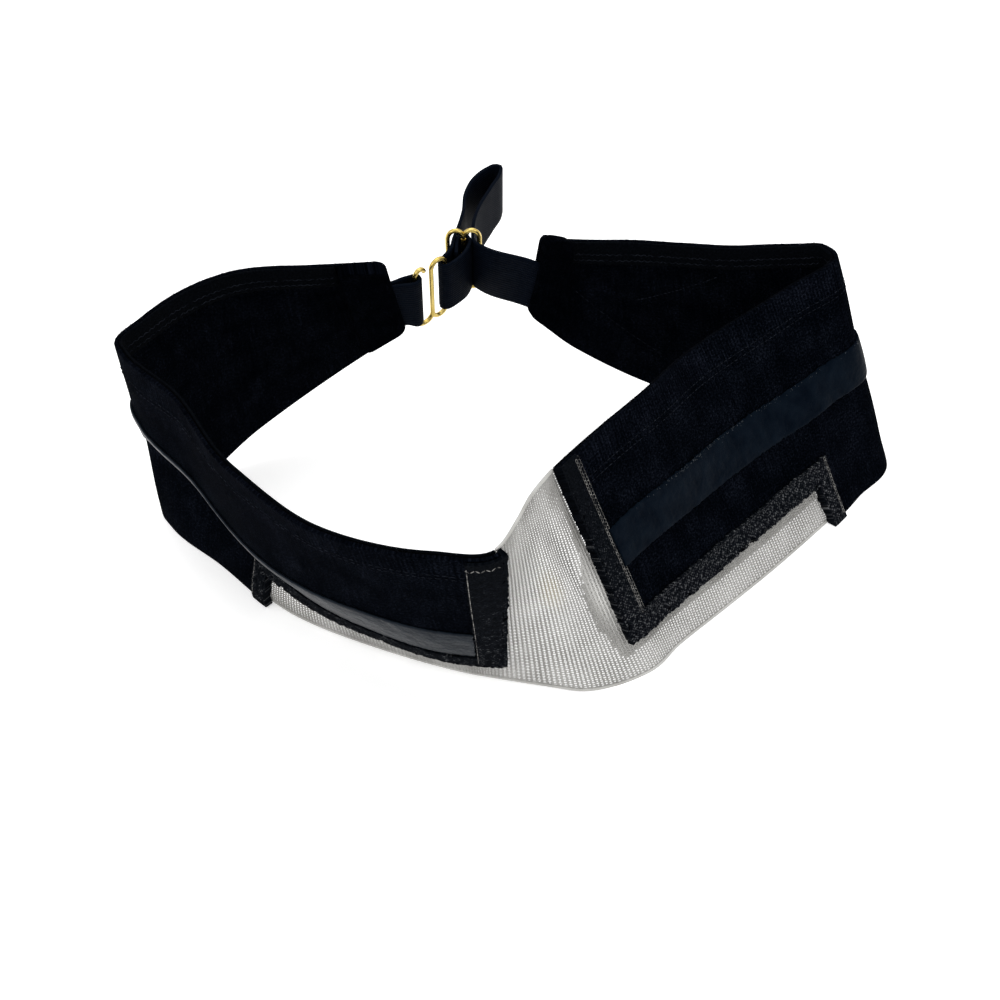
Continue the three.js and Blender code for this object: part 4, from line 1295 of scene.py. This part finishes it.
short_route = (
    tucked_ply(LEFT_END, -1, 1)
    + wrap(hook_frame, -HOOK_LOBE, -80, 90, 5)
    + [route_point(hook_frame, -HOOK_LOBE - EYE_BULGE, WRAP_RADIUS + PLY_SPREAD)]
    + tucked_ply(LEFT_END, -1, 0)[::-1]
)
SLACK_ROUTE = [
    (-0.050, 0.117), (0.012, 0.367), (0.040, 0.600), (0.120, 0.800), (0.250, 0.943), (0.327, 0.985),
    (0.377, 0.965), (0.372, 0.900), (0.270, 0.667), (0.150, 0.400), (0.090, 0.150),
]
long_route = (
    [route_point(slider_frame, -WRAP_RADIUS - PLY_SPREAD, -SEWN_TAIL, STRAP_DROP)]
    + wrap(slider_frame, 0, 180, 0, 6, CLOSED_UP, STRAP_DROP)
    + [route_point(slider_frame, WRAP_RADIUS - PLY_SPREAD + CLOSED_UP, -PLY_BEND, STRAP_DROP)]
    + [route_point(hook_frame, HOOK_EYE + EYE_BULGE, -WRAP_RADIUS)]
    + wrap(hook_frame, HOOK_EYE, -95, -270, 6)
    + [route_point(slider_frame, -SECOND_PLY - PLY_SPREAD, -PLY_BEND)]
    + [route_point(slider_frame, -SECOND_PLY, 0)]
    + [route_point(slider_frame, side * SLACK_LENGTH, back * SLACK_LENGTH) for side, back in SLACK_ROUTE]
    + wrap(slider_frame, SLIDER_PITCH, 180, 228, 3, CLOSED_UP, STRAP_DROP)
    + tucked_ply(RIGHT_END, 1, 0, RIGHT_STRAP_DROP)[::-1]
)

# %% Lay the straps along their routes
TAPE_WEAVE = 1.0


def make_strap(name, route):
    points = np.array([tuple(point) for point, up in route])
    ups = np.array([tuple(up) for point, up in route])
    places = np.concatenate([[0], np.cumsum(np.linalg.norm(np.diff(points, axis=0), axis=1))])
    path = [smooth_curve(places, points[:, axis], False) for axis in range(3)]
    rise = [smooth_curve(places, ups[:, axis], True) for axis in range(3)]
    length = places[-1]
    strap = lay_cloth(name + "_tape", 0, length, -STRAP_WIDTH / 2, STRAP_WIDTH / 2, TAPE_WEAVE)
    thicken(strap, -STRAP_WALL / 2, STRAP_WALL / 2, 0.2)
    map_cloth(strap.data)
    flat = read_points(strap.data)
    where = np.clip(flat[:, 0], 0, length)

    def on_path(place):
        return np.stack([curve(place) for curve in path], axis=1)

    ahead = on_path(np.minimum(where + 0.05, length)) - on_path(np.maximum(where - 0.05, 0))
    up = np.stack([curve(where) for curve in rise], axis=1)
    up /= np.linalg.norm(up, axis=1)[:, None]
    side = np.cross(ahead, up)
    side /= np.linalg.norm(side, axis=1)[:, None]
    write_points(strap.data, (on_path(where) + up * flat[:, 1:2] + side * flat[:, 2:3]) * MM)
    finish_piece(strap, elastic_tape, "elastic", name)
    print(name, "is", round(length), "mm long")
    return strap, length


short_loop, short_length = make_strap("short_strap_loop", short_route)
long_strap, long_length = make_strap("long_strap", long_route)

# %% [markdown]
# ## Loose fibres
# The velvet's cut and folded edges shed short fibres. Each is a thin three-sided spike
# that leans out from the edge by seeded chance.


# %% Fibres along an edge
def fringe(name, start, end, out, each_mm, lengths, heading, seed, heights):
    chance = np.random.default_rng(seed)
    start, end = Vector(start), Vector(end)
    matrices = []
    for _ in range(round((end - start).length * each_mm)):
        foot = start.lerp(end, chance.random())
        length = chance.uniform(*lengths)
        across = Matrix.Rotation(heading + chance.normal(0, 0.6), 4, "Z")
        fall = Matrix.Rotation(math.radians(90) - abs(chance.normal(0, 0.5)), 4, "Y")
        size = Matrix.Diagonal((1, 1, length, 1))
        rise = chance.uniform(*out)
        matrices.append(Matrix.Translation((foot.x, foot.y, rise)) @ across @ fall @ size)
    dress(many(name, fibre, matrices), heights, black_thread, "hem")


UP_THE_CLOTH = math.pi / 2
ON_ROLL = (0.2, 1.8)
ON_FOLD = (-0.7, 0.9)
BESIDE = VELVET_END - 0.6
BELOW = NET_DROP - 0.6
# Name, start, end, range outwards, fibres for each mm, lengths, heading, seed and heights.
FRINGES = [
    ("right_hem", (BESIDE, NET_DROP), (BESIDE, BAND_WIDTH), ON_ROLL, 11, (0.4, 1.2), math.pi, 41, as_cut),
    ("left_hem", (-BESIDE, NET_DROP), (-BESIDE, BAND_WIDTH), ON_ROLL, 11, (0.4, 1.2), 0, 42, as_cut),
    ("left_notch", (LEFT_STEP, BELOW), (-VELVET_END, BELOW), ON_ROLL, 5, (0.3, 0.8), -UP_THE_CLOTH, 43,
     as_cut),
    ("right_notch", (VELVET_END, BELOW), (RIGHT_STEP, BELOW), ON_ROLL, 8, (0.3, 0.9), -UP_THE_CLOTH, 44,
     as_cut),
    ("left_top", (LEFT_END, BAND_WIDTH), (-VELVET_END, BAND_WIDTH), ON_FOLD, 7, (0.3, 0.7), UP_THE_CLOTH, 45,
     from_top),
    ("right_top", (VELVET_END, BAND_WIDTH), (RIGHT_END, BAND_WIDTH), ON_FOLD, 7, (0.3, 0.7), UP_THE_CLOTH, 46,
     from_top),
]
for fringe_name, *settings in FRINGES:
    fringe(fringe_name + "_fibres", *settings)

# %% [markdown]
# ## Mean panel widths
# The panels, the net and the straps are sheets of cloth. Here the mean width of
# each velvet panel is worked out.


left_mean = width_at(np.linspace(LEFT_END, -VELVET_END, 400)).mean()
right_mean = width_at(np.linspace(VELVET_END, RIGHT_END, 400)).mean()
